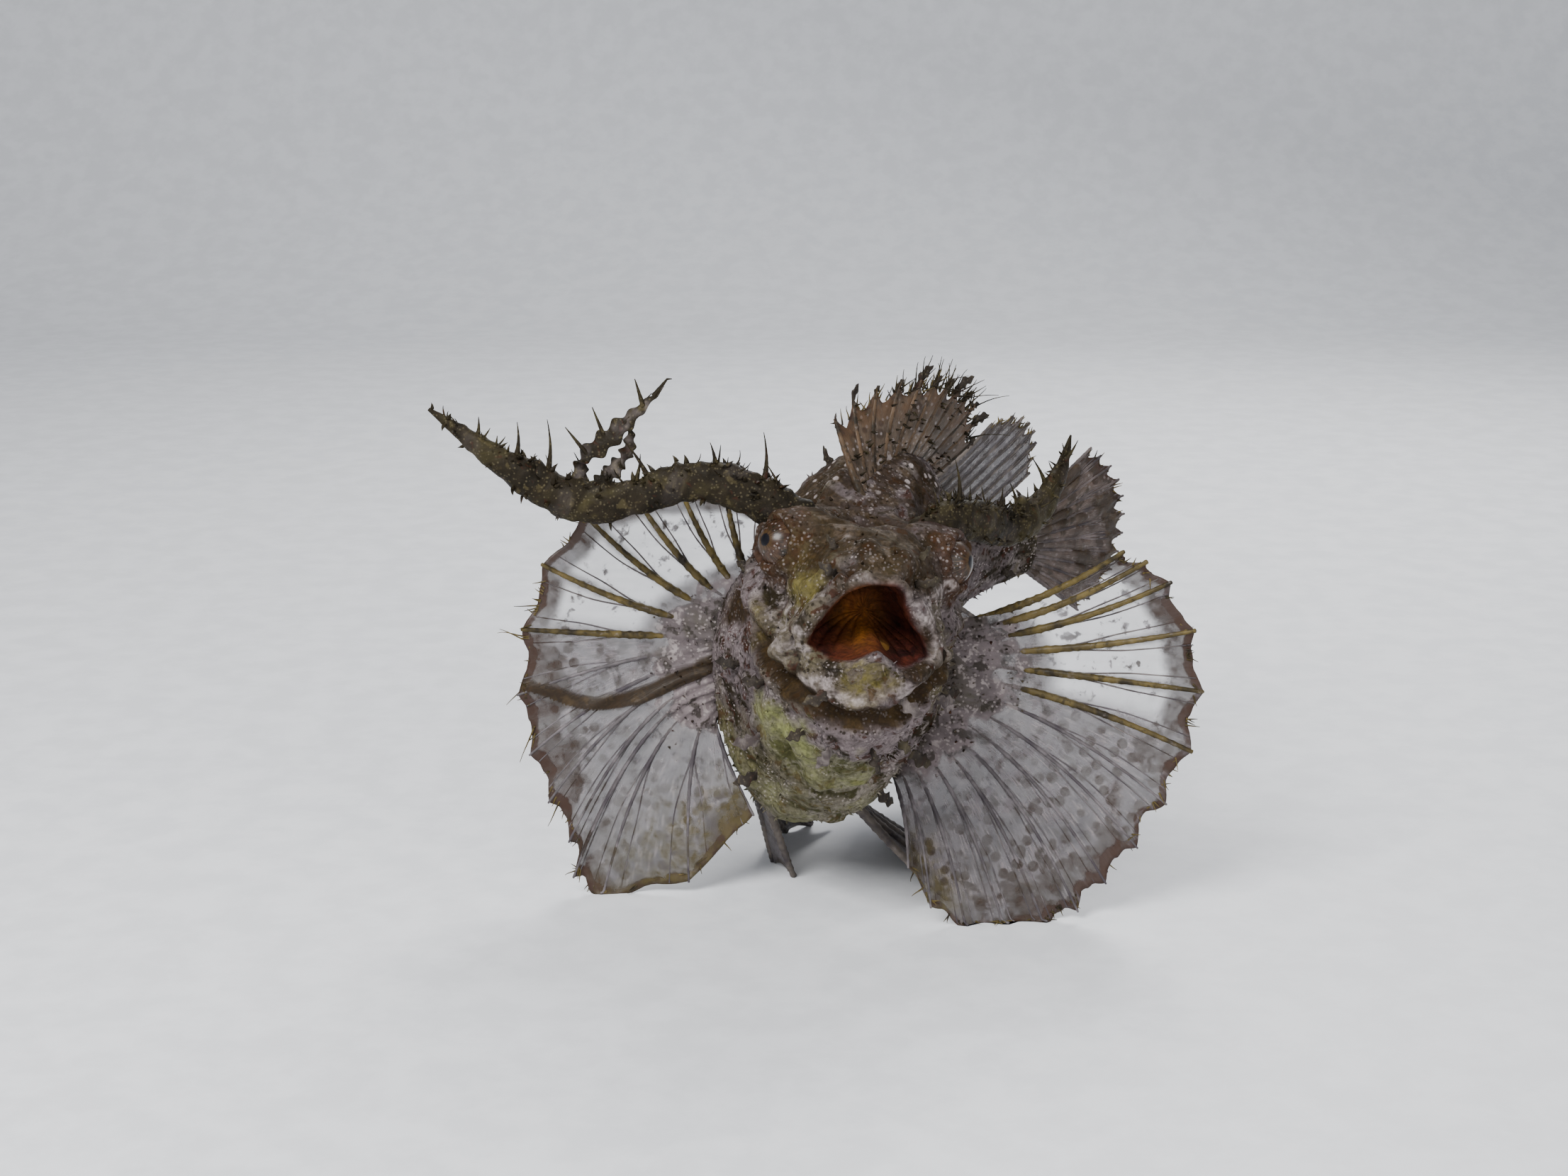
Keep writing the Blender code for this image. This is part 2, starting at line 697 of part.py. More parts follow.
def make_brow(side_name, points):
    """A brow tentacle in three lengths, its root cut to the head."""
    path = path_through(points)
    half = curve_through(BROW_HALF_DEPTH)
    bounds = (0.0, *BROW_CUTS, 1.0)
    slack = GAP / 2 / np.linalg.norm(np.diff(np.array(points, float), axis=0), axis=1).sum()
    for part, start, end in zip(BROW_PARTS, bounds, bounds[1:]):
        start += slack if start > 0 else 0
        end -= slack if end < 1 else 0
        name = f"brow_{side_name}_{part}"
        piece = tube(name, path, half, BROW_FLATNESS, 12, 7, start, end)
        added = threads(path, BROW_THREADS[side_name], half, start, end)
        if side_name == "right" and start < BRANCH_SHARE < end:
            added += side_branch()
        combine(piece, added, "UNION")
        if part == "root":
            out = -1 if side_name == "right" else 1
            near = [body_cutter(), lid(out, GAP), sphere("near", eye_centre(out), EYE_RADIUS + GAP)]
            combine(piece, near, "DIFFERENCE")


def pectoral_middle(fin):
    """The function of column and row that gives the pectoral fan's middle surface."""
    out = fin["out"]
    root_top, root_foot = (np.array([s, 0, height]) for s, height in PECTORAL_ROOT)
    reaches = np.array(fin["reach"], float)
    share = np.linspace(0, 1, len(reaches))
    outline = curve_through(np.column_stack([share, reaches]))
    depth = curve_through(fin["depth"])
    last = PECTORAL_RAYS - 1

    def middle(column, row):
        around = column / last
        root = root_top + (root_foot - root_top) * around
        root[1] = out * (half_width(root[0]) - ROOT_SINK)
        start = placed(root)
        angle, reach = outline(around)
        reach *= 1.0 if on_crest(column) else 0.955
        angle = math.radians(angle)
        tip = np.array([
            fin["middle"][0] + out * reach * math.cos(angle),
            depth(around),
            fin["middle"][1] + reach * math.sin(angle),
        ])
        bow = out * (0.18 + 0.27 * max(0.0, math.cos(angle))) * np.linalg.norm(tip - start)
        bend = start + np.array([bow, 0.5 * (tip[1] - start[1]), 0])
        pleat = (0.0 if on_crest(column) else 0.5) * row
        place = (1 - row) ** 2 * start + 2 * row * (1 - row) * bend + row**2 * tip
        return place + np.array([0, pleat, 0])

    return middle


def make_pectorals(cutter):
    rows = [0, 0.12, 0.27, 0.43, 0.6, 0.77, 0.9, 1.0]
    for side_name, fin in PECTORAL.items():
        name = "pectoral_" + side_name
        piece = vane(name, pectoral_middle(fin), ridges(1.0, 0.4), ray_columns(PECTORAL_RAYS), rows)
        combine(piece, [cutter()], "DIFFERENCE")
        combine(piece, [floor_cutter()], "DIFFERENCE")


def median_middle(fin, below=False):
    """The middle surface of a fin that stands on the back or under the tail."""
    first, last = fin["s"]
    length = curve_through(fin["length"])
    count = fin["count"] - 1
    web = fin.get("web", 0.93)

    def middle(column, row):
        around = column / count
        s = first + (last - first) * around
        reach = length(around) * (1.0 if on_crest(column) else web) + MEDIAN_SINK
        lean, tilt = (math.radians(a + (b - a) * around) for a, b in (fin["lean"], fin["tilt"]))
        along = row * reach
        rise = along * math.cos(lean) * math.cos(tilt)
        height = bottom_line(s) + MEDIAN_SINK - rise if below else top_line(s) - MEDIAN_SINK + rise
        side = along * math.cos(lean) * math.sin(tilt)
        side += 0.0 if on_crest(column) else 0.35 * math.sin(math.pi * row)
        return placed((s + along * math.sin(lean), side, height))

    return middle


def tip_flap(middle, column):
    """A leafy flap at the tip of a dorsal spine, bent back."""
    tip, below = middle(column, 1.0), middle(column, 0.8)
    up = (tip - below) / np.linalg.norm(tip - below)
    behind = middle(column + 1, 1.0) - tip
    length, half_width = TIP_FLAP
    end = tip + length * (0.75 * up + 0.6 * behind / np.linalg.norm(behind))
    width = curve_through(((0, 0.75), (0.5, 0.9), (0.75, 1.0), (1, 0.25)))
    path = path_through([tip - up * 3.0, tip + up * 0.5, end])
    return tube("flap", path, lambda share: half_width * width(share), 0.5, 5, 5)


def make_median_fins(cutter):
    rows = [0, 0.2, 0.42, 0.64, 0.84, 1.0]
    fins = {
        "dorsal_spiny": (dict(SPINY_DORSAL, web=SPINE_WEB), False, 1.0),
        "dorsal_soft": (SOFT_DORSAL, False, 0.6),
        "anal_fin": (ANAL, True, 0.7),
    }
    for name, (fin, below, ray_root) in fins.items():
        piece = vane(
            name,
            median_middle(fin, below),
            ridges(ray_root, 0.35),
            ray_columns(fin["count"]),
            rows,
        )
        if name == "dorsal_spiny":
            middle = median_middle(fin)
            combine(piece, [tip_flap(middle, column) for column in TIP_FLAPS], "UNION")
        combine(piece, [cutter()], "DIFFERENCE")


def caudal_middle(column, row):
    """The middle surface of the tail fin."""
    around = column / (CAUDAL["count"] - 1)
    root_height = (top_line(BODY_LENGTH) + bottom_line(BODY_LENGTH)) / 2 + CAUDAL["root"] * (1 - 2 * around)
    spread = math.radians(CAUDAL["spread"][0] + (CAUDAL["spread"][1] - CAUDAL["spread"][0]) * around)
    reach = curve_through(CAUDAL["length"])(around) * (1.0 if on_crest(column) else 0.95)
    reach = reach * row + MEDIAN_SINK * (row - 1)
    side = 0.0 if on_crest(column) else 0.4 * math.sin(math.pi * row)
    return placed((BODY_LENGTH + reach * math.cos(spread), side, root_height + reach * math.sin(spread)))


def make_caudal(cutter):
    rows = [0, 0.2, 0.42, 0.64, 0.84, 1.0]
    piece = vane("caudal_fin", caudal_middle, ridges(0.8, 0.35), ray_columns(CAUDAL["count"]), rows)
    combine(piece, [cutter()], "DIFFERENCE")


def pelvic_middle(side_name):
    tips = np.array(PELVIC[side_name], float)
    out = 1 if side_name == "left" else -1
    tip_at = curve_through(np.column_stack([np.arange(len(tips)), tips]))
    first, last = PELVIC_ROOT_S

    def middle(column, row):
        s = first + (last - first) * column / (len(tips) - 1)
        start = placed((s, out * PELVIC_ROOT_SIDE, bottom_line(s) + PELVIC_ROOT_RISE))
        tip = np.array(tip_at(column))
        if not on_crest(column):
            tip = start + (tip - start) * 0.95
            tip[2] = min(tip[2], -0.2) if tips[int(column)][2] < 0 else tip[2]
        bend = start * 0.45 + tip * 0.55
        bend[2] = 0.36 * start[2]
        return (1 - row) ** 2 * start + 2 * row * (1 - row) * bend + row**2 * tip

    return middle


def make_pelvics(cutter):
    rows = [0, 0.18, 0.36, 0.54, 0.72, 0.88, 1.0]
    for side_name in PELVIC:
        piece = vane(
            "pelvic_" + side_name,
            pelvic_middle(side_name),
            ridges(1.0, 0.5),
            ray_columns(len(PELVIC[side_name])),
            rows,
        )
        combine(piece, [cutter()], "DIFFERENCE")
        combine(piece, [floor_cutter()], "DIFFERENCE")


def centre_on_floor():
    """Moves every piece so that the middle of the fish's box is over the origin."""
    made = [o for o in bpy.data.objects if o.type == "MESH"]
    corners = np.array([v.co for o in made for v in o.data.vertices])
    shift = -(corners.min(0) + corners.max(0)) / 2
    shift[2] = -corners[:, 2].min()
    for obj in made:
        for vertex in obj.data.vertices:
            vertex.co = np.array(vertex.co) + shift


def clear_scene():
    for obj in list(bpy.data.objects):
        bpy.data.objects.remove(obj)


clear_scene()
materials = make_materials()
make_head()
make_body()
make_eyes()
make_brow("right", BROW_RIGHT)
make_brow("left", BROW_LEFT)
make_pectorals(body_cutter)
make_median_fins(body_cutter)
make_caudal(body_cutter)
make_pelvics(body_cutter)
centre_on_floor()
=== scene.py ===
"""Dresses the rhinopias scorpionfish: skin, eyes, mouth, brow tentacles, fins, leafy flaps and a stage.

The shape functions are the same as in the solids' source. Fish coordinates are in millimetres: s runs
back from the snout, side is positive to the fish's left and height is above the floor. placed() bends
them to the pose, and SHIFT moves the result onto the packed model.
"""

import functools
import json
import math

import bmesh
import bpy
import numpy as np
from mathutils import Vector, noise
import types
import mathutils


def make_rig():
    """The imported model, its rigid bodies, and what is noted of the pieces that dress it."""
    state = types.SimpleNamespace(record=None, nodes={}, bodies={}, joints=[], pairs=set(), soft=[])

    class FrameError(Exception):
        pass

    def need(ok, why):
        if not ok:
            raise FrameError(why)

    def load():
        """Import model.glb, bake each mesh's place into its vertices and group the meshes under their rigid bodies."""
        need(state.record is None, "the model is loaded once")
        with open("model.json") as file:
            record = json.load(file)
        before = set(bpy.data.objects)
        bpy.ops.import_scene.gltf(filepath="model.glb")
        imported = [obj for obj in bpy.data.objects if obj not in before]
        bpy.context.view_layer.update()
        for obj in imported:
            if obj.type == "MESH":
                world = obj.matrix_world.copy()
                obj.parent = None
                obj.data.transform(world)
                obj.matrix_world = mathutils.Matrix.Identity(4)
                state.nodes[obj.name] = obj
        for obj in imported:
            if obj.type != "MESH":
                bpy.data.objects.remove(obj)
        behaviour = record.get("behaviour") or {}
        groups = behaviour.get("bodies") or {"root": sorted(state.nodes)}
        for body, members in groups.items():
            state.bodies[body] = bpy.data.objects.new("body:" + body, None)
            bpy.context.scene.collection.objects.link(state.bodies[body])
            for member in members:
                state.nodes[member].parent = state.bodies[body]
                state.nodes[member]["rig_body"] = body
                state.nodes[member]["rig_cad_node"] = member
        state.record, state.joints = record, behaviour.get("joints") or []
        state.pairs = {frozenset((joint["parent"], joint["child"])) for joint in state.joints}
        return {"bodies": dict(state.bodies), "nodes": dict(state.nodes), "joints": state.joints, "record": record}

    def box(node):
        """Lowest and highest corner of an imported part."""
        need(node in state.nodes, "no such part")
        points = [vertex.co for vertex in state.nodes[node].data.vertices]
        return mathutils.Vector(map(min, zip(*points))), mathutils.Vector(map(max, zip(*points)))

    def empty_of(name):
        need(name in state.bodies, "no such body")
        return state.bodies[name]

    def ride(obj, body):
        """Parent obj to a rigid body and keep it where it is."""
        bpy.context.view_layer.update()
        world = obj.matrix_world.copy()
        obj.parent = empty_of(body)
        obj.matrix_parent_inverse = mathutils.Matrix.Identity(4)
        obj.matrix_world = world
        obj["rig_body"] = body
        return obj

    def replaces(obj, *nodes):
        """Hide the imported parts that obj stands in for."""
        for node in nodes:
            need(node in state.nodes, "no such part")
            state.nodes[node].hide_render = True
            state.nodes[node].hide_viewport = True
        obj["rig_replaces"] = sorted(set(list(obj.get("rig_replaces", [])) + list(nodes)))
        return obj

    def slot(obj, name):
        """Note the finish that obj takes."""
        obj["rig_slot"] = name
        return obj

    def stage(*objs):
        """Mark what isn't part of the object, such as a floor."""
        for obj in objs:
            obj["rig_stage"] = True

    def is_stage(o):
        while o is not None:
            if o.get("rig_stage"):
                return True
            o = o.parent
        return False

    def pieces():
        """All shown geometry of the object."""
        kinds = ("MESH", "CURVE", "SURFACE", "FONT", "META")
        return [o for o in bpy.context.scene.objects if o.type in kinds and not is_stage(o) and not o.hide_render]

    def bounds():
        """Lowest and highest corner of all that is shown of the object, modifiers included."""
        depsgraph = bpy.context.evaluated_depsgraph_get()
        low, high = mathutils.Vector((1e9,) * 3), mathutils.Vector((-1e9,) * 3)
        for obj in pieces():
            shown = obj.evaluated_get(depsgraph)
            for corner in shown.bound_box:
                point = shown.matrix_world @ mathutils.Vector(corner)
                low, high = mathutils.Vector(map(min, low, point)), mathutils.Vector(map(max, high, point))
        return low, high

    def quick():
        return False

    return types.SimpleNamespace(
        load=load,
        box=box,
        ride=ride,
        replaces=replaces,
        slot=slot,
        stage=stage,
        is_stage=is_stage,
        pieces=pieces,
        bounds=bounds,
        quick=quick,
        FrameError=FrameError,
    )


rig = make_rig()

bl_info = {
    "name": "Rhinopias scorpionfish",
    "version": (1, 0, 0),
    "blender": (4, 5, 0),
    "location": "3D View > Sidebar > Scorpionfish",
    "description": "Dresses the scorpionfish's solids with skin, fins, eyes and a studio stage",
    "category": "Object",
}

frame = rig.load()
CAD_BOX = [list(corner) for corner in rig.bounds()]
MM = 0.001

# Driving sizes in millimetres and degrees, as in the solids
BODY_LENGTH = 118.0
TOP_LINE = (
    (0, 68), (8, 72.5), (20, 76), (32, 76), (42, 79), (54, 82.5), (66, 80.5), (82, 71.5), (100, 62),
    (118, 58.5),
)
BOTTOM_LINE = (
    (0, 48), (2, 44.5), (6, 40), (16, 32.5), (28, 21), (40, 13), (52, 12), (68, 17), (86, 31), (100, 40),
    (118, 44.5),
)
HALF_WIDTH = (
    (0, 10), (6, 12), (16, 14.5), (27, 17.5), (40, 19.5), (52, 18), (70, 12.5), (88, 7.8), (104, 4.8),
    (118, 3.2),
)
WIDEST_SHARE = ((0, 0.45), (20, 0.5), (40, 0.52), (60, 0.5), (118, 0.5))
ROUND_ABOVE, ROUND_BELOW = 2.15, 1.85
RELIEF = (  # s, side, height, reach, rise
    (25, 13.5, 68, 6.5, 2.6), (26, 10.5, 75, 5.0, 2.4), (27, 0.0, 77, 5.5, -5.0), (19, 14.0, 59, 5.0, -2.6),
    (29, 18.0, 57, 5.0, 1.8), (8, 3.0, 72, 4.0, 1.6), (37, 11.0, 71, 5.5, -2.4), (39, 19.5, 44, 8.0, 1.2),
    (22, 12.5, 41, 5.0, 1.3),
)
EYE_PLACE, ROLL_HEIGHT = (12.6, -25.0), 58.0
HEADING = ((-20, -5), (28, -5), (40, -2), (60, 18), (80, 36), (118, 52), (150, 58))
ROLL = ((0, 9), (30, 9), (44, 15), (58, 23), (76, 22), (98, 10), (118, 4))
MIDLINE_S = np.arange(-20.0, 165.0, 0.5)
MOUTH_HALF_WIDTH, MOUTH_CORNER, UPPER_LIP, LOWER_LIP = 11.0, (9.5, 56.5), (3.5, 70.0), (0.8, 53.5)
LIP_RADIUS, FACE_END_S = 1.15, 17.0
THROAT = ((0, 0.02, 18.6), (0.35, 0.34, 17.0), (0.7, 0.62, 12.0), (1, 0.80, 7.0))
EYE_RADIUS, EYE_CENTRE, EYE_LOOK = 4.8, (25.0, 14.0, 69.0), (-0.52, 0.82, 0.22)
LID_RADIUS, LID_REACH = 1.0, 2.2
LID_HALF_WIDTH, LID_HEIGHT, LID_FADE, SOCKET_REACH = 1.15, 1.05, 4.0, 9.0
THROAT_RINGS, LIP_RINGS, FACE_RINGS, LIP_MIDDLE_RING = 14, 11, 42, 24
BROW = {
    "right": (
        (4, -21, 71.5), (-5.5, -21, 78.6), (-15, -20.5, 80.6), (-26, -19.5, 77.6), (-36, -18.5, 76.6),
        (-47, -18.5, 82.4), (-61.5, -18.5, 93),
    ),
    "left": (
        (23, -21, 68), (28.5, -19, 73), (34.5, -13, 71.5), (41, -4, 68.5), (47, 3, 70.5), (51, 8, 75.5),
        (53.5, 13, 82),
    ),
}
BROW_HALF_DEPTH = ((0, 3.6), (0.25, 3.7), (0.45, 3.2), (0.58, 3.7), (0.75, 2.9), (0.88, 1.7), (1, 0.28))
BROW_FLATNESS, BROW_RINGS, BROW_SIDES, BROW_HAIRS = 0.62, 190, 36, 46
BROW_THREADS = {  # share of the length, length, lean along x and y
    "right": (
        (0.13, 8, 0, 0.1), (0.25, 3.5, -0.2, 0), (0.45, 4.5, 0.2, 0), (0.665, 9, 0.02, 0),
        (0.75, 5.5, 0.05, 0.1), (0.86, 3, 0.1, 0), (0.07, 5.5, -0.45, -0.1), (0.56, 5, -0.4, 0.2),
        (0.41, 6.5, -0.62, 0.0),
    ),
    "left": (
        (0.2, 7, -0.1, 0), (0.42, 4, 0.2, 0), (0.56, 4, -0.3, 0), (0.74, 5, -0.5, -0.2), (0.87, 3.5, 0.6, 0),
    ),
}
BRANCH = {
    "branch": (
        (-35.0, -18.5, 78.0), (-35.6, -18.5, 82.6), (-30.0, -18.5, 88.2), (-26.2, -18.5, 91.7),
        (-20.7, -18.5, 97.0),
    ),
    "branch_fork": ((-33.6, -18.2, 78.0), (-31.0, -18.0, 80.8), (-27.6, -18.2, 84.6), (-26.4, -18.4, 90.8)),
}
BRANCH_THREADS = (  # share of the length, length, lean
    (0.45, 5.0, -0.4), (0.62, 4.5, 0.9), (0.8, 4.0, -0.3), (0.3, 4.0, -0.8), (0.9, 3.2, 0.8),
)
FLAPS = (  # s, angle round the body, length, half width
    (5.0, -58, 5.0, 1.1), (9.0, -72, 4.5, 1.0), (12.0, -50, 3.5, 0.9), (8.5, 52, 3.5, 0.8),
    (13.0, 60, 3.0, 0.7), (20.0, -18, 4.0, 1.0), (26.0, -38, 5.5, 1.2), (31.0, -8, 4.0, 1.0),
    (33.0, -52, 5.0, 1.1), (37.0, 22, 3.5, 0.9), (52.0, 55, 4.0, 1.0), (60.0, 14, 4.5, 1.1),
    (64.0, -28, 5.0, 1.2), (72.0, 22, 4.0, 1.0), (88.0, -10, 4.0, 1.0), (98.0, 28, 3.5, 0.9),
    (108.0, -25, 3.0, 0.8),
)
LEAF_RINGS, LEAF_SIDES = 26, 14
SPINES = ((32.0, 2, 3.0), (34.5, -14, 3.2), (35.0, -30, 2.8), (37.5, 48, 2.6))
PECTORAL_RAYS, ROOT_SINK = 15, 4.0
PECTORAL_ROOT = ((43.0, 56.0), (46.5, 27.5))
PECTORAL = {  # side, middle, angles and lengths of rays from the top, y along them, last ray with windows
    "right": (
        -1, (-10.0, 40.0),
        ((102, 32), (76, 36), (50, 41), (15, 39), (-20, 39), (-45, 42), (-60, 48), (-100, 25)),
        ((0, 0.0), (0.5, -8.0), (0.85, -11.0), (1, -10.0)), 6.3,
    ),
    "left": (
        1, (29.0, 36.0),
        ((46, 44), (34, 47), (8, 46), (-20, 42), (-45, 41), (-64, 42), (-84, 38), (-106, 25)),
        ((0, -19.0), (0.5, -22.0), (0.85, -26.0), (1, -27.5)), 5.2,
    ),
}
MEDIAN = {  # root s, rays, ray lengths, lean back and tilt to the left in degrees, the web's reach, below
    "dorsal_spiny": (
        (36.0, 76.5), 12, ((0, 15), (0.15, 16), (0.35, 16), (0.6, 16), (0.85, 15), (1, 11)),
        (20, 40), (-36, 30), 0.86, False,
    ),
    "dorsal_soft": (
        (80.0, 103.0), 9, ((0, 17), (0.35, 22), (0.7, 21), (1, 13)), (42, 58), (26, 6), 0.93, False,
    ),
    "anal_fin": ((80.0, 98.0), 7, ((0, 13), (0.35, 22), (0.7, 24), (1, 17)), (24, 56), (0, 0), 0.93, True),
}
MEDIAN_SINK = 3.0
CAUDAL_RAYS, CAUDAL_SPREAD, CAUDAL_ROOT = 12, (36, -36), 6.0
CAUDAL_LENGTH = ((0, 20), (0.3, 26), (0.5, 27), (0.7, 26), (1, 20))
PELVIC_ROOT_S, PELVIC_ROOT_SIDE, PELVIC_ROOT_RISE = (40.0, 50.0), 8.0, 8.0
PELVIC = {
    "left": ((31, -14, -0.4), (33.5, -6, -0.5), (33.5, 3, -0.5), (31, 12, -0.5), (26, 19, -0.4), (20.5, 20, 2)),
    "right": ((2, -2, -0.4), (-2, 6, -0.5), (-2.5, 15, -0.5), (0.5, 22, -0.5), (5.5, 26, -0.4), (9.5, 24, 2)),
}

# Lines on the skin, as s and height, as s and side, or as x and z from the front
JAW_SEAM, MAXILLA = ((9.5, 56.5), (24, 27), (18, 0)), ((4, 70), (9, 61), (12.5, 52))
CHEEK_RIDGE, NAPE_RIDGE = ((14, 60), (22, 57), (30, 58), (37, 60)), ((30, 10), (36, 8), (42, 6))
CHIN_FOLD = (
    (-7.7, 58.5), (-3.5, 54.1), (2.1, 49.7), (7.7, 46.5), (12, 45.3), (17.6, 45.6), (22.5, 48.2), (26, 51.2),
)
CHEEK_BAND = ((-7.7, 57.5), (-12.3, 53.5), (-16.7, 50), (-22, 47))
FIN_BAND = (
    (-2.0, 50.0), (-8.4, 46.2), (-17.7, 41.4), (-25, 38.0), (-31.5, 36.2), (-38, 36.4), (-45, 39.0), (-52, 41),
)
PAINT = (  # mark, x, z, reach across, reach up, strength, for skin seen from the front
    ("olive", 13.4, 52.6, 5.6, 5.0, 0.85), ("olive", 3.0, 67.5, 3.2, 5.5, 0.9),
    ("olive", -5.5, 57.5, 3.2, 5.0, 0.9), ("olive", 27.4, 76.0, 7.0, 3.0, 0.7),
    ("red", -0.5, 74.5, 8.0, 6.5, 0.7), ("dark", -2.0, 68.0, 4.5, 3.0, 0.6),
    ("dark", 25.0, 69.5, 6.0, 3.4, 0.85), ("dark", 18.0, 72.0, 4.0, 7.0, 0.8),
    ("dark", 12.0, 77.0, 8.0, 3.0, 0.7), ("dark", 7.0, 75.0, 2.5, 5.5, 0.85),
    ("dark", 21.8, 57.0, 2.7, 5.0, 0.95), ("pale", 18.6, 67.0, 2.0, 3.4, 0.85),
    ("pale", 22.0, 63.4, 1.5, 2.2, 0.7), ("pale", 30.5, 73.6, 4.5, 1.0, 0.9),
    ("pale", 27.5, 64.2, 7.0, 1.2, 0.9), ("pale", 2.0, 58.0, 3.0, 5.5, 0.5),
    ("pale", 5.5, 51.0, 4.0, 2.5, 0.6), ("pale", 20.5, 49.5, 3.0, 1.8, 0.8),
    ("throat", -3.0, 33.0, 11.0, 13.0, 1.0), ("throat", 9.0, 30.0, 8.0, 8.0, 0.75),
    ("dark", 22.5, 21.0, 6.0, 6.0, 0.7), ("dark", -9.0, 42.0, 3.5, 7.0, 0.45),
)

COLOURS = {  # label, description, colour
    "mauve": ("Mauve-grey", "Main colour of the skin", (0.092, 0.074, 0.075)),
    "pale": ("Pale mauve", "Light flecks and the lips", (0.300, 0.256, 0.245)),
    "olive": ("Olive", "Yellow-olive chin, cheeks and throat", (0.125, 0.103, 0.026)),
    "dark": ("Dark olive-brown", "Tentacles, bands and fin rays", (0.013, 0.0096, 0.005)),
    "red": ("Reddish brown", "Warm flecks of skin and tentacles", (0.095, 0.026, 0.012)),
    "membrane": ("Membrane", "Skin between the fin rays", (0.126, 0.112, 0.119)),
}
SIZES = {  # label, description, value, most, unit
    "bumps": ("Skin bumps", "Height of the larger bumps of the skin", 0.00055, 0.002, "LENGTH"),
    "grain": ("Skin grain", "Height of the fine grain in the finish", 0.00025, 0.001, "LENGTH"),
    "web": ("Membrane", "Half thickness of a fin's membrane", 0.00012, 0.0005, "LENGTH"),
    "tags": ("Skin tags", "Skin tags for each square metre of skin", 170000.0, 600000.0, "NONE"),
}
# Colours of the dark marks, such as bands and the painted shade under the jaw, by how far the flecks have risen
BAND_SHADES = ((0.36, (0.040, 0.024, 0.009)), (0.5, (0.017, 0.0095, 0.0035)), (0.64, (0.026, 0.014, 0.005)))


def ease(value):
    """0 to 1 with soft ends."""
    value = np.clip(value, 0.0, 1.0)
    return value * value * (3 - 2 * value)


def near(distance, reach):
    """1 at no distance, with a soft fall to almost nothing at twice the reach."""
    return np.exp(-((distance / reach) ** 2))


def unit(vectors):
    """The same directions, one long."""
    return vectors / np.maximum(np.linalg.norm(vectors, axis=-1, keepdims=True), 1e-9)


def curve_through(points):
    """A function of the first column, for one key or many, that passes smoothly through the rest."""
    table = np.array(points, float)
    keys, values = table[:, 0], table[:, 1:]
    slopes = np.gradient(values, keys, axis=0)

    def at(key):
        key = np.clip(np.asarray(key, float), keys[0], keys[-1])
        i = np.clip(np.searchsorted(keys, key) - 1, 0, len(keys) - 2)
        step = (keys[i + 1] - keys[i])[..., None]
        t = (key - keys[i])[..., None] / step
        found = (
            (2 * t**3 - 3 * t**2 + 1) * values[i]
            + (t**3 - 2 * t**2 + t) * step * slopes[i]
            + (3 * t**2 - 2 * t**3) * values[i + 1]
            + (t**3 - t**2) * step * slopes[i + 1]
        )
        return found[..., 0] if found.shape[-1] == 1 else found

    return at


def path_through(points):
    """A function from 0 to 1 along a smooth path through points."""
    points = np.array(points, float)
    spans = np.linalg.norm(np.diff(points, axis=0), axis=1)
    keys = np.concatenate([[0], np.cumsum(spans)]) / spans.sum()
    return curve_through(np.column_stack([keys, points]))


top_line, bottom_line, half_width, widest_share, throat_curve, heading_at, roll_at = map(
    curve_through, (TOP_LINE, BOTTOM_LINE, HALF_WIDTH, WIDEST_SHARE, THROAT, HEADING, ROLL)
)


def fish(s, side, height):
    """Fish coordinates as one array, from numbers or arrays."""
    return np.stack(np.broadcast_arrays(np.asarray(s, float), side, height), axis=-1)


def midline_places():
    """World x and y of the body's middle at each of MIDLINE_S, added up along its heading."""
    heading = np.radians(heading_at(MIDLINE_S))
    heading = (heading[1:] + heading[:-1]) / 2
    steps = np.diff(MIDLINE_S)[:, None] * np.column_stack([np.sin(heading), np.cos(heading)])
    places = np.concatenate([np.zeros((1, 2)), np.cumsum(steps, axis=0)])
    return places - places[np.searchsorted(MIDLINE_S, EYE_CENTRE[0])] + EYE_PLACE


midline = midline_places()


def placed(points):
    """World x, y and z, before SHIFT, of points in fish coordinates."""
    points = np.asarray(points, float)
    s, side, up = points[..., 0], points[..., 1], points[..., 2] - ROLL_HEIGHT
    roll, heading = np.radians(roll_at(s)), np.radians(heading_at(s))
    side, up = side * np.cos(roll) + up * np.sin(roll), up * np.cos(roll) - side * np.sin(roll)
    x, y = (np.interp(s, MIDLINE_S, column) for column in midline.T)
    return np.stack([x + side * np.cos(heading), y - side * np.sin(heading), ROLL_HEIGHT + up], axis=-1)


def core(s):
    """The middle of the body at s, between its top and bottom lines, in fish coordinates."""
    return fish(s, 0.0, (top_line(s) + bottom_line(s)) / 2)


def skin(s, angle):
    """Side and height of the plain skin at s, at an angle round the body from the fish's left."""
    top, bottom = top_line(s), bottom_line(s)
    middle = bottom + widest_share(s) * (top - bottom)
    across, up = np.cos(angle), np.sin(angle)
    power = 2 / np.where(up > 0, ROUND_ABOVE, ROUND_BELOW)
    side = half_width(s) * np.copysign(np.abs(across) ** power, across)
    rise = np.where(up > 0, top - middle, middle - bottom) * np.copysign(np.abs(up) ** power, up)
    away = np.hypot(side, rise)
    bumps = sum(
        lift * np.exp(-((s - at) ** 2 + (np.abs(side) - out) ** 2 + (middle + rise - high) ** 2) / reach**2)
        for at, out, high, reach, lift in RELIEF
    )
    grown = (away + bumps) / away
    return side * grown, middle + rise * grown


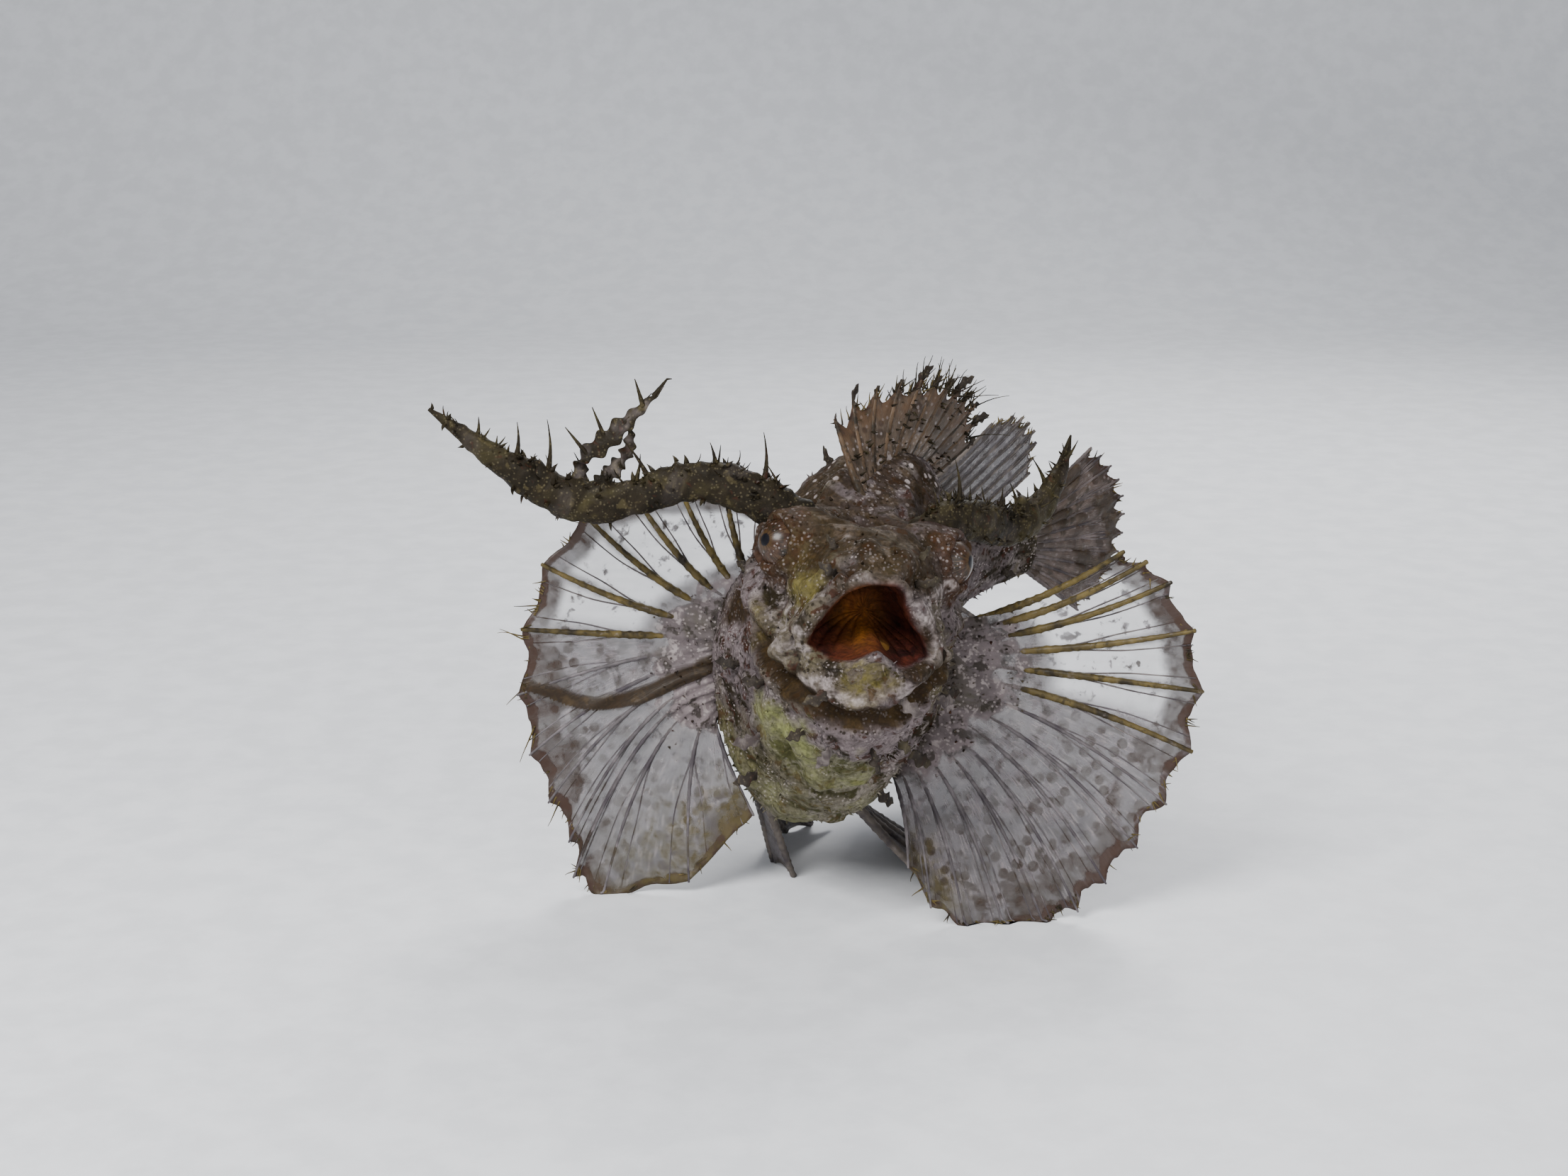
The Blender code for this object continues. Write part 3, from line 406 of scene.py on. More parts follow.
def mouth_rim(angle):
    """The mouth's edge at an angle round it."""
    across, up = np.cos(angle), np.sin(angle)
    lip_s, lip_height = (np.where(up > 0, UPPER_LIP[k], LOWER_LIP[k]) for k in range(2))
    s = MOUTH_CORNER[0] * (1 - up * up) + lip_s * up * up
    height = MOUTH_CORNER[1] + (lip_height - MOUTH_CORNER[1]) * np.abs(up) ** 0.9
    side = MOUTH_HALF_WIDTH * np.copysign(np.abs(across) ** 0.9, across)
    side = side * (1 - np.where(across > 0, 0.40, 0.17) * np.maximum(0.0, np.abs(across) * up * 2))
    height = height + np.where(up < 0, 3.6 * near(side - 0.5, 4.6) * np.abs(up), 0.0)
    return fish(s, side, height)


def lip_out(angle):
    """The direction out of the mouth's middle at an angle round it."""
    rim = mouth_rim(angle)
    return unit(rim - fish(rim[..., 0], 0.0, MOUTH_CORNER[1] + 3.0))


def lip_point(angle, turn):
    """The lip's round edge: turn 0 is outermost, 90 in front and 180 inside the mouth."""
    turn = math.radians(turn)
    ahead = np.array([1.0, 0.0, 0.0])
    return mouth_rim(angle) + LIP_RADIUS * (math.cos(turn) * lip_out(angle) - math.sin(turn) * ahead)


def throat_point(angle, share, depth):
    """A point of the mouth's lining, where its section is that share of the rim's."""
    rim = mouth_rim(angle)
    middle = MOUTH_CORNER[1] + 4.0
    return fish(rim[..., 0] * share + depth, rim[..., 1] * share, middle + (rim[..., 2] - middle) * share)


def face_point(angle, share):
    """A point on the face, share 0 at the lip and 1 where the plain sections begin."""
    rim = mouth_rim(angle)
    s = rim[..., 0] + (FACE_END_S - rim[..., 0]) * share
    weight = (1 - (1 - np.minimum(1.0, share / 0.5)) ** 2)
    flat = rim[..., 1:] + (np.stack(skin(s, angle), -1) - rim[..., 1:]) * weight
    return fish(s, flat[..., 0], flat[..., 1]) + LIP_RADIUS * max(0.0, 1 - share / 0.14) ** 2 * lip_out(angle)


def surface(s, angle):
    """World point and outward normal on the outside of the head or body."""

    def at(s, angle):
        rim = mouth_rim(angle)
        if s < FACE_END_S:
            return placed(face_point(angle, max(0.0, float((s - rim[0]) / (FACE_END_S - rim[0])))))
        return placed(fish(s, *skin(s, angle)))

    here = at(s, angle)
    normal = unit(np.cross(at(s + 0.3, angle) - here, at(s, angle + 0.03) - here))
    return here, normal * math.copysign(1, float(np.dot(normal, here - placed(core(max(s, 6.0))))))


def eye_frame(out):
    """An eye's centre and the direction it looks in."""
    mirror = np.array([1, out, 1])
    centre, ahead = placed(EYE_CENTRE * mirror), placed((np.array(EYE_CENTRE) + EYE_LOOK) * mirror)
    return centre, unit(ahead - centre)


eye_low, eye_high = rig.box("eye_left")
SHIFT = np.array((eye_low + eye_high) / 2) / MM - eye_frame(1)[0]
BOX_LOW, BOX_HIGH = (np.array(corner) / MM - SHIFT for corner in CAD_BOX)


def rough(points, size, seed=0.0, octaves=1):
    """Smooth noise at places in millimetres, with features of about that size."""
    flat = np.asarray(points, float).reshape(-1, 3) / size + seed * np.array([17.3, 5.1, 11.7])
    total = np.zeros(len(flat))
    for octave in range(octaves):
        total += 0.5**octave * np.array([noise.noise(Vector(p)) for p in flat * 2**octave])
    return total.reshape(np.asarray(points).shape[:-1])


def away_from(points, line):
    """Distance of flat points from a broken line."""
    best = np.full(points.shape[:-1], 1e9)
    for a, b in zip(line, line[1:]):
        a, b = np.array(a, float), np.array(b, float)
        t = np.clip(((points - a) @ (b - a)) / ((b - a) @ (b - a)), 0, 1)
        best = np.minimum(best, np.linalg.norm(points - a - t[..., None] * (b - a), axis=-1))
    return best


# Meshes


def linked(name, data):
    """A new object in the scene."""
    made = bpy.data.objects.new(name, data)
    bpy.context.scene.collection.objects.link(made)
    return made


def new_piece(name, points, edges, faces, marks):
    """A new object from points in millimetres before SHIFT, with a number for each point in each mark."""
    mesh = bpy.data.meshes.new(name)
    mesh.from_pydata(((points + SHIFT) * MM).tolist(), edges, faces)
    for mark, values in marks.items():
        made = mesh.attributes.new(mark, "FLOAT", "POINT")
        made.data.foreach_set("value", np.asarray(values, float).reshape(-1).astype(np.float32))
    return linked(name, mesh)


def piece_from(name, points, faces, finish, marks):
    """A new closed piece, kept inside the solids' box, with its faces outward."""
    points = np.clip(np.asarray(points, float).reshape(-1, 3), BOX_LOW, BOX_HIGH)
    piece = new_piece(name, points, [], faces, marks)
    work = bmesh.new()
    work.from_mesh(piece.data)
    bmesh.ops.remove_doubles(work, verts=work.verts, dist=1e-7)
    bmesh.ops.recalc_face_normals(work, faces=work.faces)
    work.to_mesh(piece.data)
    work.free()
    piece.data.shade_smooth()
    piece.data.materials.append(look(finish))
    return piece


def finished(piece, slot, *nodes):
    """Rides the piece on the body, names its material slot and says which solids it stands for."""
    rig.ride(piece, "root")
    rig.slot(piece, slot)
    if nodes:
        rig.replaces(piece, *nodes)


def ring_faces(rings, columns, start=0):
    """Faces between rings of points, with one across each end."""
    faces = []
    for a in range(start, start + (rings - 1) * columns, columns):
        faces += [
            (a + k, a + (k + 1) % columns, a + columns + (k + 1) % columns, a + columns + k)
            for k in range(columns)
        ]
    last = start + (rings - 1) * columns
    return faces + [tuple(range(start, start + columns))[::-1], tuple(range(last, last + columns))]


def turns(count):
    """Even angles round a circle."""
    return np.linspace(0, 2 * math.pi, count, endpoint=False)


def shares(count):
    """Even steps from 0 to 1, as a column."""
    return np.linspace(0, 1, count)[:, None]


def grid_normals(grid, wrap=False):
    """Unit normals of a grid of points, row by column."""
    if wrap:
        across = (np.roll(grid, -1, axis=1) - np.roll(grid, 1, axis=1)) / 2
    else:
        across = np.gradient(grid, axis=1)
    return unit(np.cross(across, np.gradient(grid, axis=0)))


def sweep_rings(path, half, flatness, rings, sides, up=(0, 0, 1)):
    """Rings of a flattened tube along a path: points, and the outward direction at each."""
    places = np.linspace(0.0, 1.0, rings)
    ahead = unit(path(np.minimum(1, places + 0.01)) - path(np.maximum(0, places - 0.01)))
    across = unit(np.cross(ahead, np.array(up, float)))
    over = np.cross(across, ahead)
    turn = turns(sides)[None, :, None]
    spoke = np.sin(turn) * over[:, None] + flatness * np.cos(turn) * across[:, None]
    return path(places)[:, None] + half(places)[:, None, None] * spoke, unit(spoke), places


# Geometry Nodes


class Tree:
    """A few short words for building a node tree."""

    def __init__(self, tree):
        self.tree = tree

    def add(self, kind, values=None, **settings):
        """A new node with its settings, each input fed a value or a link."""
        made = self.tree.nodes.new(kind)
        for key, value in settings.items():
            setattr(made, key, value)
        for key, value in (values or {}).items():
            self.feed(made.inputs[key], value)
        return made

    def get(self, kind, values=None, out=0, **settings):
        """One output of a new node."""
        return self.add(kind, values, **settings).outputs[out]

    def feed(self, socket, value):
        if isinstance(value, bpy.types.NodeSocket):
            self.tree.links.new(value, socket)
        else:
            socket.default_value = value

    def maths(self, operation, *values):
        return self.get("ShaderNodeMath", dict(enumerate(values)), operation=operation)

    def times(self, a, b):
        return self.maths("MULTIPLY", a, b)

    def plus(self, a, b):
        return self.maths("ADD", a, b)


def start_geometry(name, **inputs):
    """A Geometry Nodes tree with named inputs, each a default value or a kind of data."""
    group = bpy.data.node_groups.new(name, "GeometryNodeTree")
    group.interface.new_socket("Geometry", in_out="OUTPUT", socket_type="NodeSocketGeometry")
    kinds = {float: "Float", int: "Int"}
    for label, given in {"Geometry": "Geometry", **inputs, "Finish": "Material"}.items():
        kind = kinds.get(type(given), given)
        socket = group.interface.new_socket(
            label.replace("_", " "), in_out="INPUT", socket_type=f"NodeSocket{kind}"
        )
        if kind != given:
            socket.default_value = given
    work = Tree(group)
    return work, work.add("NodeGroupInput").outputs


def end_geometry(work, made, given):
    """Real, smooth geometry in its material at the end of a tree."""
    real = work.get("GeometryNodeRealizeInstances", {"Geometry": made})
    smooth = work.get("GeometryNodeSetShadeSmooth", {"Geometry": real, "Shade Smooth": True})
    done = work.get("GeometryNodeSetMaterial", {"Geometry": smooth, "Material": given["Finish"]})
    work.feed(work.add("NodeGroupOutput").inputs[0], done)
    return work


def apply_tree(piece, work, values):
    """Runs a tree on a piece, its inputs set by identifier, and keeps the plain mesh inside the solids' box."""
    modifier = piece.modifiers.new(work.tree.name, "NODES")
    modifier.node_group = work.tree
    for item in work.tree.interface.items_tree:
        if item.in_out == "INPUT" and item.name in values:
            modifier[item.identifier] = values[item.name]
    bpy.context.view_layer.update()
    graph = bpy.context.evaluated_depsgraph_get()
    mesh = bpy.data.meshes.new_from_object(piece.evaluated_get(graph))
    piece.modifiers.remove(modifier)
    old, piece.data = piece.data, mesh
    bpy.data.meshes.remove(old)
    places = np.zeros(len(mesh.vertices) * 3, np.float32)
    mesh.vertices.foreach_get("co", places)
    places = np.clip(places.reshape(-1, 3), *np.array(CAD_BOX))
    mesh.vertices.foreach_set("co", places.reshape(-1).astype(np.float32))
    mesh.update()


def ray_tree():
    """Sweeps a knobbly round section along every line of a mesh, as thick as its half attribute."""
    work, given = start_geometry("fin rays", Knob_height=0.14, Knob_length=0.0016, Sides=8)
    half = work.get("GeometryNodeInputNamedAttribute", {"Name": "half"}, data_type="FLOAT")
    length = work.get("GeometryNodeSplineParameter", out="Length")
    wave = work.maths("SINE", work.times(work.maths("DIVIDE", length, given["Knob length"]), 6.2832))
    knob = work.maths("MULTIPLY_ADD", work.maths("MAXIMUM", wave, 0.0), given["Knob height"], 1.0)
    circle = {"Resolution": given["Sides"], "Radius": 1.0}
    swept = work.get("GeometryNodeCurveToMesh", {
        "Curve": work.get("GeometryNodeMeshToCurve", {"Mesh": given["Geometry"]}),
        "Profile Curve": work.get("GeometryNodeCurvePrimitiveCircle", circle),
        "Scale": work.times(half, knob), "Fill Caps": True,
    })
    return end_geometry(work, swept, given)


def scatter_tree():
    """Stands small skin tags on a surface, as dense as its growth attribute says."""
    work, given = start_geometry(
        "skin tags", Density=200000.0, Least_size=0.4, Most_size=1.2, Seed=3, Lean=0.6, Tag="Object"
    )
    growth = work.get("GeometryNodeInputNamedAttribute", {"Name": "growth"}, data_type="FLOAT")
    points = work.add("GeometryNodeDistributePointsOnFaces", {
        "Mesh": given["Geometry"], "Seed": given["Seed"], "Density": work.times(growth, given["Density"]),
    }).outputs
    tilt = work.get("FunctionNodeRandomValue", {
        "Seed": given["Seed"], "Min": (-1.0, -1.0, -1.0), "Max": (1.0, 1.0, 1.0),
    }, data_type="FLOAT_VECTOR")
    scaled = work.get("ShaderNodeVectorMath", {0: tilt, "Scale": given["Lean"]}, operation="SCALE")
    leaning = work.get("ShaderNodeVectorMath", {0: points["Normal"], 1: scaled}, operation="ADD")
    size = {"Seed": given["Seed"], 2: given["Least size"], 3: given["Most size"]}
    stood = work.get("GeometryNodeInstanceOnPoints", {
        "Points": points[0],
        "Instance": work.get("GeometryNodeObjectInfo", {"Object": given["Tag"]}, "Geometry"),
        "Rotation": work.get(
            "FunctionNodeAlignRotationToVector", {"Rotation": points["Rotation"], "Vector": leaning}, axis="Z"
        ),
        "Scale": work.get("FunctionNodeRandomValue", size, 1, data_type="FLOAT"),
    })
    return end_geometry(work, stood, given)


RAY_MARGIN = 0.35  # the lines stay this far inside the solids' box, for the rays' own thickness


def swept_rays(name, slot, lines, halves, finish, sides, knob, knob_length, tones=None):
    """Makes a piece of round rays swept along lines, each with its half thickness and its tone."""
    counts = [len(line) for line in lines]
    points = np.clip(np.concatenate(lines), BOX_LOW + RAY_MARGIN, BOX_HIGH - RAY_MARGIN)
    half = np.concatenate([np.broadcast_to(size, count) for size, count in zip(halves, counts)]) * MM
    firsts = np.cumsum([0, *counts[:-1]]).tolist()
    edges = [(a + k, a + k + 1) for a, count in zip(firsts, counts) for k in range(count - 1)]
    marks = {"half": half, "tone": np.repeat(tones or [0.0] * len(lines), counts)}
    piece = new_piece(name, points, edges, [], marks)
    values = {"Knob height": knob, "Knob length": knob_length * MM, "Sides": sides, "Finish": look(finish)}
    apply_tree(piece, ray_tree(), values)
    finished(piece, slot)


# Finishes


def property_group(name, text, properties):
    """A PropertyGroup class made from a table of properties."""
    return type(name, (bpy.types.PropertyGroup,), {"__doc__": text, "__annotations__": properties})


FishColours = property_group("FishColours", "Colours of the living skin.", {
    key: bpy.props.FloatVectorProperty(
        name=label, description=text, subtype="COLOR", size=3, default=value, min=0, max=1
    )
    for key, (label, text, value) in COLOURS.items()
})
FishSizes = property_group("FishSizes", "Sizes of the fine detail.", {
    key: bpy.props.FloatProperty(name=label, description=text, default=value, min=0.0, max=most, unit=kind)
    for key, (label, text, value, most, kind) in SIZES.items()
})


def sizes():
    """The fine sizes in the panel."""
    return bpy.context.scene.fish_sizes


def shade(colour, amount):
    """A colour made lighter or darker."""
    return tuple(min(1.0, c * amount) for c in colour)


def tone(name, amount=1.0):
    """One of the colours in the panel, lighter or darker."""
    return shade(getattr(bpy.context.scene.fish_colours, name), amount)


class Finish(Tree):
    """A procedural finish that is built up in layers of colour over the skin."""

    def __init__(self, name, coat=0.0, coat_roughness=0.2, specular=0.5):
        self.material = bpy.data.materials.new(name)
        self.material.use_nodes = True
        super().__init__(self.material.node_tree)
        self.sockets = self.tree.nodes["Principled BSDF"].inputs
        self.place = self.get("ShaderNodeTexCoord", out="Object")
        self.sockets["Coat Weight"].default_value = coat
        self.sockets["Coat Roughness"].default_value = coat_roughness
        self.sockets["Specular IOR Level"].default_value = specular

    def noise(self, size, detail=3.0, rough_share=0.55, distortion=0.0):
        """Cloudy noise with features of about that size in millimetres."""
        return self.get("ShaderNodeTexNoise", {
            "Vector": self.place, "Scale": 600.0 / size, "Detail": detail, "Roughness": rough_share,
            "Distortion": distortion,
        }, "Fac")

    def streaks(self, place):
        """Noise on coordinates that are stretched already."""
        return self.get("ShaderNodeTexNoise", {"Vector": place, "Scale": 1.0, "Detail": 3.0}, "Fac")

    def cells(self, size):
        """Distance from the middles of cells of about that size in millimetres."""
        return self.get("ShaderNodeTexVoronoi", {"Vector": self.place, "Scale": 1000.0 / size}, "Distance")

    def mark(self, name):
        """A mark painted on the piece's points."""
        return self.get("ShaderNodeAttribute", out="Fac", attribute_name=name)

    def band(self, value, low, high, from_low=0.0, to_high=1.0):
        """Rises from one value to another while the input goes from low to high."""
        limits = {"Value": value, "From Min": low, "From Max": high, "To Min": from_low, "To Max": to_high}
        return self.get("ShaderNodeMapRange", limits, interpolation_type="SMOOTHSTEP")

    def ramp(self, value, *stops):
        """Colours that a value passes through."""
        made = self.add("ShaderNodeValToRGB", {0: value})
        points = made.color_ramp.elements
        while len(points) < len(stops):
            points.new(0.5)
        for point, (at, colour) in zip(points, stops):
            point.position = at
            point.color = (*colour, 1)
        return made.outputs[0]

    def layers(self, colour, *steps):
        """A colour with others laid over it in turn, each as strong as the product of its shares.

        A share is a number, a value from the tree, the name of a mark, or the terms of a band.
        """
        kinds = {str: self.mark, tuple: lambda terms: self.band(*terms)}
        for above, *strength in steps:
            strength = [kinds.get(type(share), lambda same: same)(share) for share in strength]
            made = self.add("ShaderNodeMix", {0: functools.reduce(self.times, strength)}, data_type="RGBA")
            for index, value in ((6, colour), (7, above)):
                self.feed(made.inputs[index], (*value, 1) if isinstance(value, tuple) else value)
            colour = made.outputs[2]
        return colour

    def finish(self, colour, height, depth, roughness, alpha=1.0):
        """Feeds the shader; with a height there is bump as well."""
        for socket, value in (("Base Color", colour), ("Roughness", roughness), ("Alpha", alpha)):
            self.feed(self.sockets[socket], value)
        if height is not None:
            bump = {"Height": height, "Distance": depth, "Strength": 0.9}
            self.feed(self.sockets["Normal"], self.get("ShaderNodeBump", bump))
        return self.material


def skin_finish():
    """Mottled mauve-grey skin with olive, dark and pale markings, and the inside of the mouth."""
    f = Finish("mottled skin", specular=0.07)
    clouds, patches = f.noise(16, 3, 0.6, 0.6), f.noise(5.5, 4, 0.62, 0.8)
    flecks, grain = f.noise(1.7, 3, 0.6, 0.4), f.noise(0.45, 2, 0.6)
    pale_pepper = f.times(f.band(f.cells(0.8), 0.34, 0.20), f.band(f.noise(4.2, 3), 0.44, 0.56))
    dark_pepper = f.times(f.band(f.cells(1.15), 0.36, 0.22), f.band(f.noise(5.2, 3), 0.44, 0.56))
    browns = (0.40, (0.020, 0.009, 0.005)), (0.52, (0.038, 0.016, 0.008)), (0.64, (0.060, 0.030, 0.014))
    ruddy = f.layers(f.ramp(patches, *browns), (tone("pale", 0.7), (f.cells(1.0), 0.32, 0.20), 0.75))
    banded = f.layers(f.ramp(flecks, *BAND_SHADES), (tone("pale", 0.5), pale_pepper, 0.35))
    reds = (0.38, (0.018, 0.005, 0.005)), (0.52, (0.055, 0.013, 0.009)), (0.66, (0.100, 0.026, 0.012))
    inner = f.layers(
        f.ramp(patches, *reds), ((0.28, 0.105, 0.014), "glow", (flecks, 0.32, 0.62, 1.0, 0.45))
    )
    colour = f.layers(
        f.ramp(clouds, (0.34, (0.085, 0.072, 0.040)), (0.5, tone("mauve")), (0.66, tone("mauve", 1.6))),
        (tone("dark", 1.3), (patches, 0.52, 0.62)),
        (tone("pale", 0.75), (patches, 0.42, 0.33), 0.5),
        (tone("red", 0.35), (flecks, 0.56, 0.64), 0.8),
        (tone("pale", 0.8), (flecks, 0.43, 0.35), 0.5),
        (tone("dark", 0.9), dark_pepper, 0.85),
        (tone("pale", 0.9), pale_pepper, 0.8),
        (tone("olive"), "olive", (flecks, 0.34, 0.62, 1.0, 0.25)),
        ((0.185, 0.195, 0.070), "throat", (patches, 0.3, 0.65, 1.0, 0.3)),
        (ruddy, "red", (flecks, 0.34, 0.62, 1.0, 0.6)),
        # The pale marks: the skin's own pale flecks and lips, with a painted highlight on the lips' lit side
        (tone("pale", 1.1), "pale", (flecks, 0.40, 0.56, 1.0, 0.1)),
        # The dark marks: the skin's own dark bands and patches, and the painted shade under the lower jaw
        (banded, "dark", (flecks, 0.34, 0.68, 1.0, 0.9)),
        (inner, "inside"),
        (tone("pale"), (f.cells(2.6), 0.26, 0.16), "dots"),
        (tone("dark", 0.8), (grain, 0.35, 0.7, 0.0, 0.45)),
    )
    height = f.plus(f.times(flecks, 1.2), f.plus(f.times(grain, 0.5), f.times(f.cells(1.1), 0.5)))
    return f.finish(colour, height, sizes().grain, f.band(flecks, 0.3, 0.7, 0.64, 0.88))


def tentacle_finish():
    """Dark olive-brown skin with paler mottling."""
    f = Finish("tentacle skin", specular=0.10)
    patches, flecks, grain = f.noise(4.5, 4, 0.62, 0.8), f.noise(1.3, 3, 0.6, 0.5), f.noise(0.4, 2)
    colour = f.layers(
        f.ramp(patches, (0.34, tone("dark", 0.55)), (0.5, tone("dark", 1.2)), (0.68, (0.033, 0.027, 0.011))),
        ((0.058, 0.046, 0.021), (flecks, 0.57, 0.68), 0.6),
        ((0.095, 0.080, 0.045), (f.cells(0.7), 0.32, 0.2), 0.4),
        (tone("red", 0.35), (flecks, 0.40, 0.28), 0.6),
        (f.layers(tone("mauve", 1.1), (tone("pale", 0.75), (flecks, 0.4, 0.6))), "light"),
    )
    height = f.plus(f.times(flecks, 1.2), f.times(grain, 0.5))
    return f.finish(colour, height, sizes().grain, f.band(flecks, 0.3, 0.7, 0.5, 0.72))


def membrane_finish(name, tint, dark_share, red_edge, least, most=0.93, dotted=0.0, warm=None):
    """Thin fin skin, see-through in its windows, with spots, fine streaks and a dark blotched margin."""
    f = Finish(name, coat=0.04, coat_roughness=0.3, specular=0.2)
    tint = tone(*tint) if isinstance(tint[0], str) else tint
    fan = f.get("ShaderNodeUVMap", uv_map="fan")
    streaks = f.streaks(f.get("ShaderNodeMapping", {"Vector": fan, "Scale": (260.0, 14.0, 1.0)}))
    patches, flecks, grain = f.noise(6.5, 4, 0.6, 0.7), f.noise(1.5, 3, 0.6, 0.3), f.noise(0.45, 2)
    edge, along = f.mark("edge"), f.mark("along")
    rim = f.band(f.plus(along, f.times(f.maths("SUBTRACT", patches, 0.5), 0.12)), 0.945, 0.98)
    cloud = tint if dotted else tone("mauve")
    cloudy = f.layers(
        f.ramp(f.noise(9, 4, 0.6, 0.8), (0.34, (0.050, 0.043, 0.028)), (0.5, cloud), (0.66, shade(cloud, 1.8))),
        (tone("pale", 0.95), (flecks, 0.45, 0.36), 0.8),
        (tone("dark", 1.2), (flecks, 0.55, 0.64), 0.8),
        (tone("pale", 0.9), (f.cells(0.9), 0.32, 0.2), 0.6),
    )
    colour = f.layers(
        f.ramp(patches, (0.36, shade(tint, 0.55)), (0.52, tint), (0.68, shade(tint, 1.5))),
        (tone("pale", 0.8), (streaks, 0.54, 0.64), 0.5 - 0.45 * dotted),
        ((0.050, 0.040, 0.028), (streaks, 0.46, 0.36), 0.6),
        ((0.075, 0.062, 0.055), (along, 0.55, 0.12, 0.0, 0.6)),
        (tone("dark", 1.5), (f.plus(patches, f.times(edge, 0.16)), 0.57, 0.66), dark_share),
        ((0.030, 0.018, 0.012), (f.cells(2.6), 0.44, 0.32), (along, 0.4, 0.85, 0.3, 0.95)),
        ((0.040, 0.022, 0.016), edge, (patches, 0.44, 0.60), red_edge * 0.8),
        ((0.034, 0.016, 0.010), rim, (flecks, 0.36, 0.62, red_edge, 0.5 * red_edge)),
        (tone("pale", 0.7), (f.cells(1.3), 0.30, 0.18), dotted),
        (cloudy, "flesh"),
        (f.ramp(flecks, *BAND_SHADES), "dark"),
        (warm or tone("olive", 0.8), "gold", (flecks, 0.35, 0.6)),
    )
    veil = f.plus(f.times(f.band(patches, 0.4, 0.7), 0.5), f.times(f.band(flecks, 0.45, 0.7), 0.5))
    solid = f.band(veil, 0.0, 1.0, least, most)
    for thick in (f.mark("flesh"), f.mark("dark"), rim):
        solid = f.maths("MAXIMUM", solid, thick)
    window = f.times(f.mark("open"), f.band(flecks, 0.60, 0.68, 1.0, 0.2))
    alpha = f.times(solid, f.maths("SUBTRACT", 1.0, f.times(window, 0.82)))
    height = f.plus(f.times(streaks, 0.8), f.times(grain, 0.5))
    return f.finish(colour, height, 0.00012, f.band(flecks, 0.3, 0.7, 0.34, 0.55), alpha)


def ray_finish(name="fin ray", base=(0.066, 0.048, 0.015)):
    """Olive-brown fin rays, banded dark and pale along their length."""
    f = Finish(name, coat=0.03, coat_roughness=0.3, specular=0.15)
    patches, flecks = f.noise(3.2, 3, 0.6, 0.5), f.noise(0.8, 3, 0.6)
    membrane = (0.5, tone("membrane", 0.6)), (0.66, tone("membrane", 1.15))
    colour = f.layers(
        f.ramp(patches, (0.36, tone("dark", 1.3)), (0.5, base), (0.66, shade(base, 1.7))),
        (tone("dark", 1.1), (flecks, 0.55, 0.66), 0.7),
        (tone("pale", 0.6), (flecks, 0.40, 0.30), 0.3),
        (f.ramp(patches, (0.36, (0.048, 0.040, 0.046)), *membrane), (f.mark("tone"), 0.0, 1.0)),
    )
    return f.finish(colour, flecks, 0.00015, f.band(flecks, 0.3, 0.7, 0.4, 0.6))


def eye_finish():
    """A moist eye: small dark pupil, thin gold-brown ring and brown mottling with fine spokes."""
    f = Finish("eye", coat=0.08, coat_roughness=0.1, specular=0.25)
    off, flecks = f.mark("off_axis"), f.noise(0.9, 3, 0.6, 0.5)
    spokes = {0: f.times(f.mark("turn"), 14.0), 1: f.times(off, 1.5), 2: 0.0}
    rays = f.streaks(f.get("ShaderNodeCombineXYZ", spokes))
    outer = f.layers(
        f.ramp(flecks, (0.36, tone("dark", 0.8)), (0.5, (0.030, 0.013, 0.007)), (0.66, (0.050, 0.026, 0.013))),
        ((0.080, 0.050, 0.024), (rays, 0.52, 0.60), 0.5),
        (tone("pale", 0.7), (f.cells(0.8), 0.30, 0.18), (off, 0.35, 0.5, 0.0, 0.7)),
    )
    iris = f.ramp(rays, (0.38, (0.026, 0.013, 0.006)), (0.62, (0.062, 0.036, 0.014)))
    wavy = f.plus(off, f.times(f.maths("SUBTRACT", rays, 0.5), 0.10))
    ring = f.layers(iris, (outer, (wavy, 0.30, 0.42)))
    return f.finish(f.layers((0.004, 0.004, 0.006), (ring, (wavy, 0.21, 0.24))), None, None, 0.3)


def tongue_finish():
    """Wet orange-brown flesh with fine bumps, darker towards the throat."""
    f = Finish("tongue", coat=0.25, coat_roughness=0.25, specular=0.4)
    patches, flecks = f.noise(3.5, 3, 0.6), f.noise(0.7, 3, 0.6)
    oranges = (0.36, (0.080, 0.040, 0.012)), (0.52, (0.170, 0.085, 0.018)), (0.68, (0.220, 0.120, 0.034))
    colour = f.layers(
        f.ramp(patches, *oranges),
        ((0.050, 0.022, 0.009), (flecks, 0.54, 0.64), 0.6),
        ((0.070, 0.018, 0.008), "deep"),
    )
    return f.finish(colour, flecks, 0.0002, f.band(flecks, 0.3, 0.7, 0.3, 0.5))


def floor_finish():
    """Plain pale floor with a faint grain."""
    f = Finish("pale floor", specular=0.3)
    grain = f.noise(6, 4, 0.6)
    colour = f.ramp(grain, (0.4, (0.70, 0.71, 0.73)), (0.6, (0.76, 0.77, 0.79)))
    return f.finish(colour, grain, 0.0001, f.band(grain, 0.3, 0.7, 0.55, 0.7))


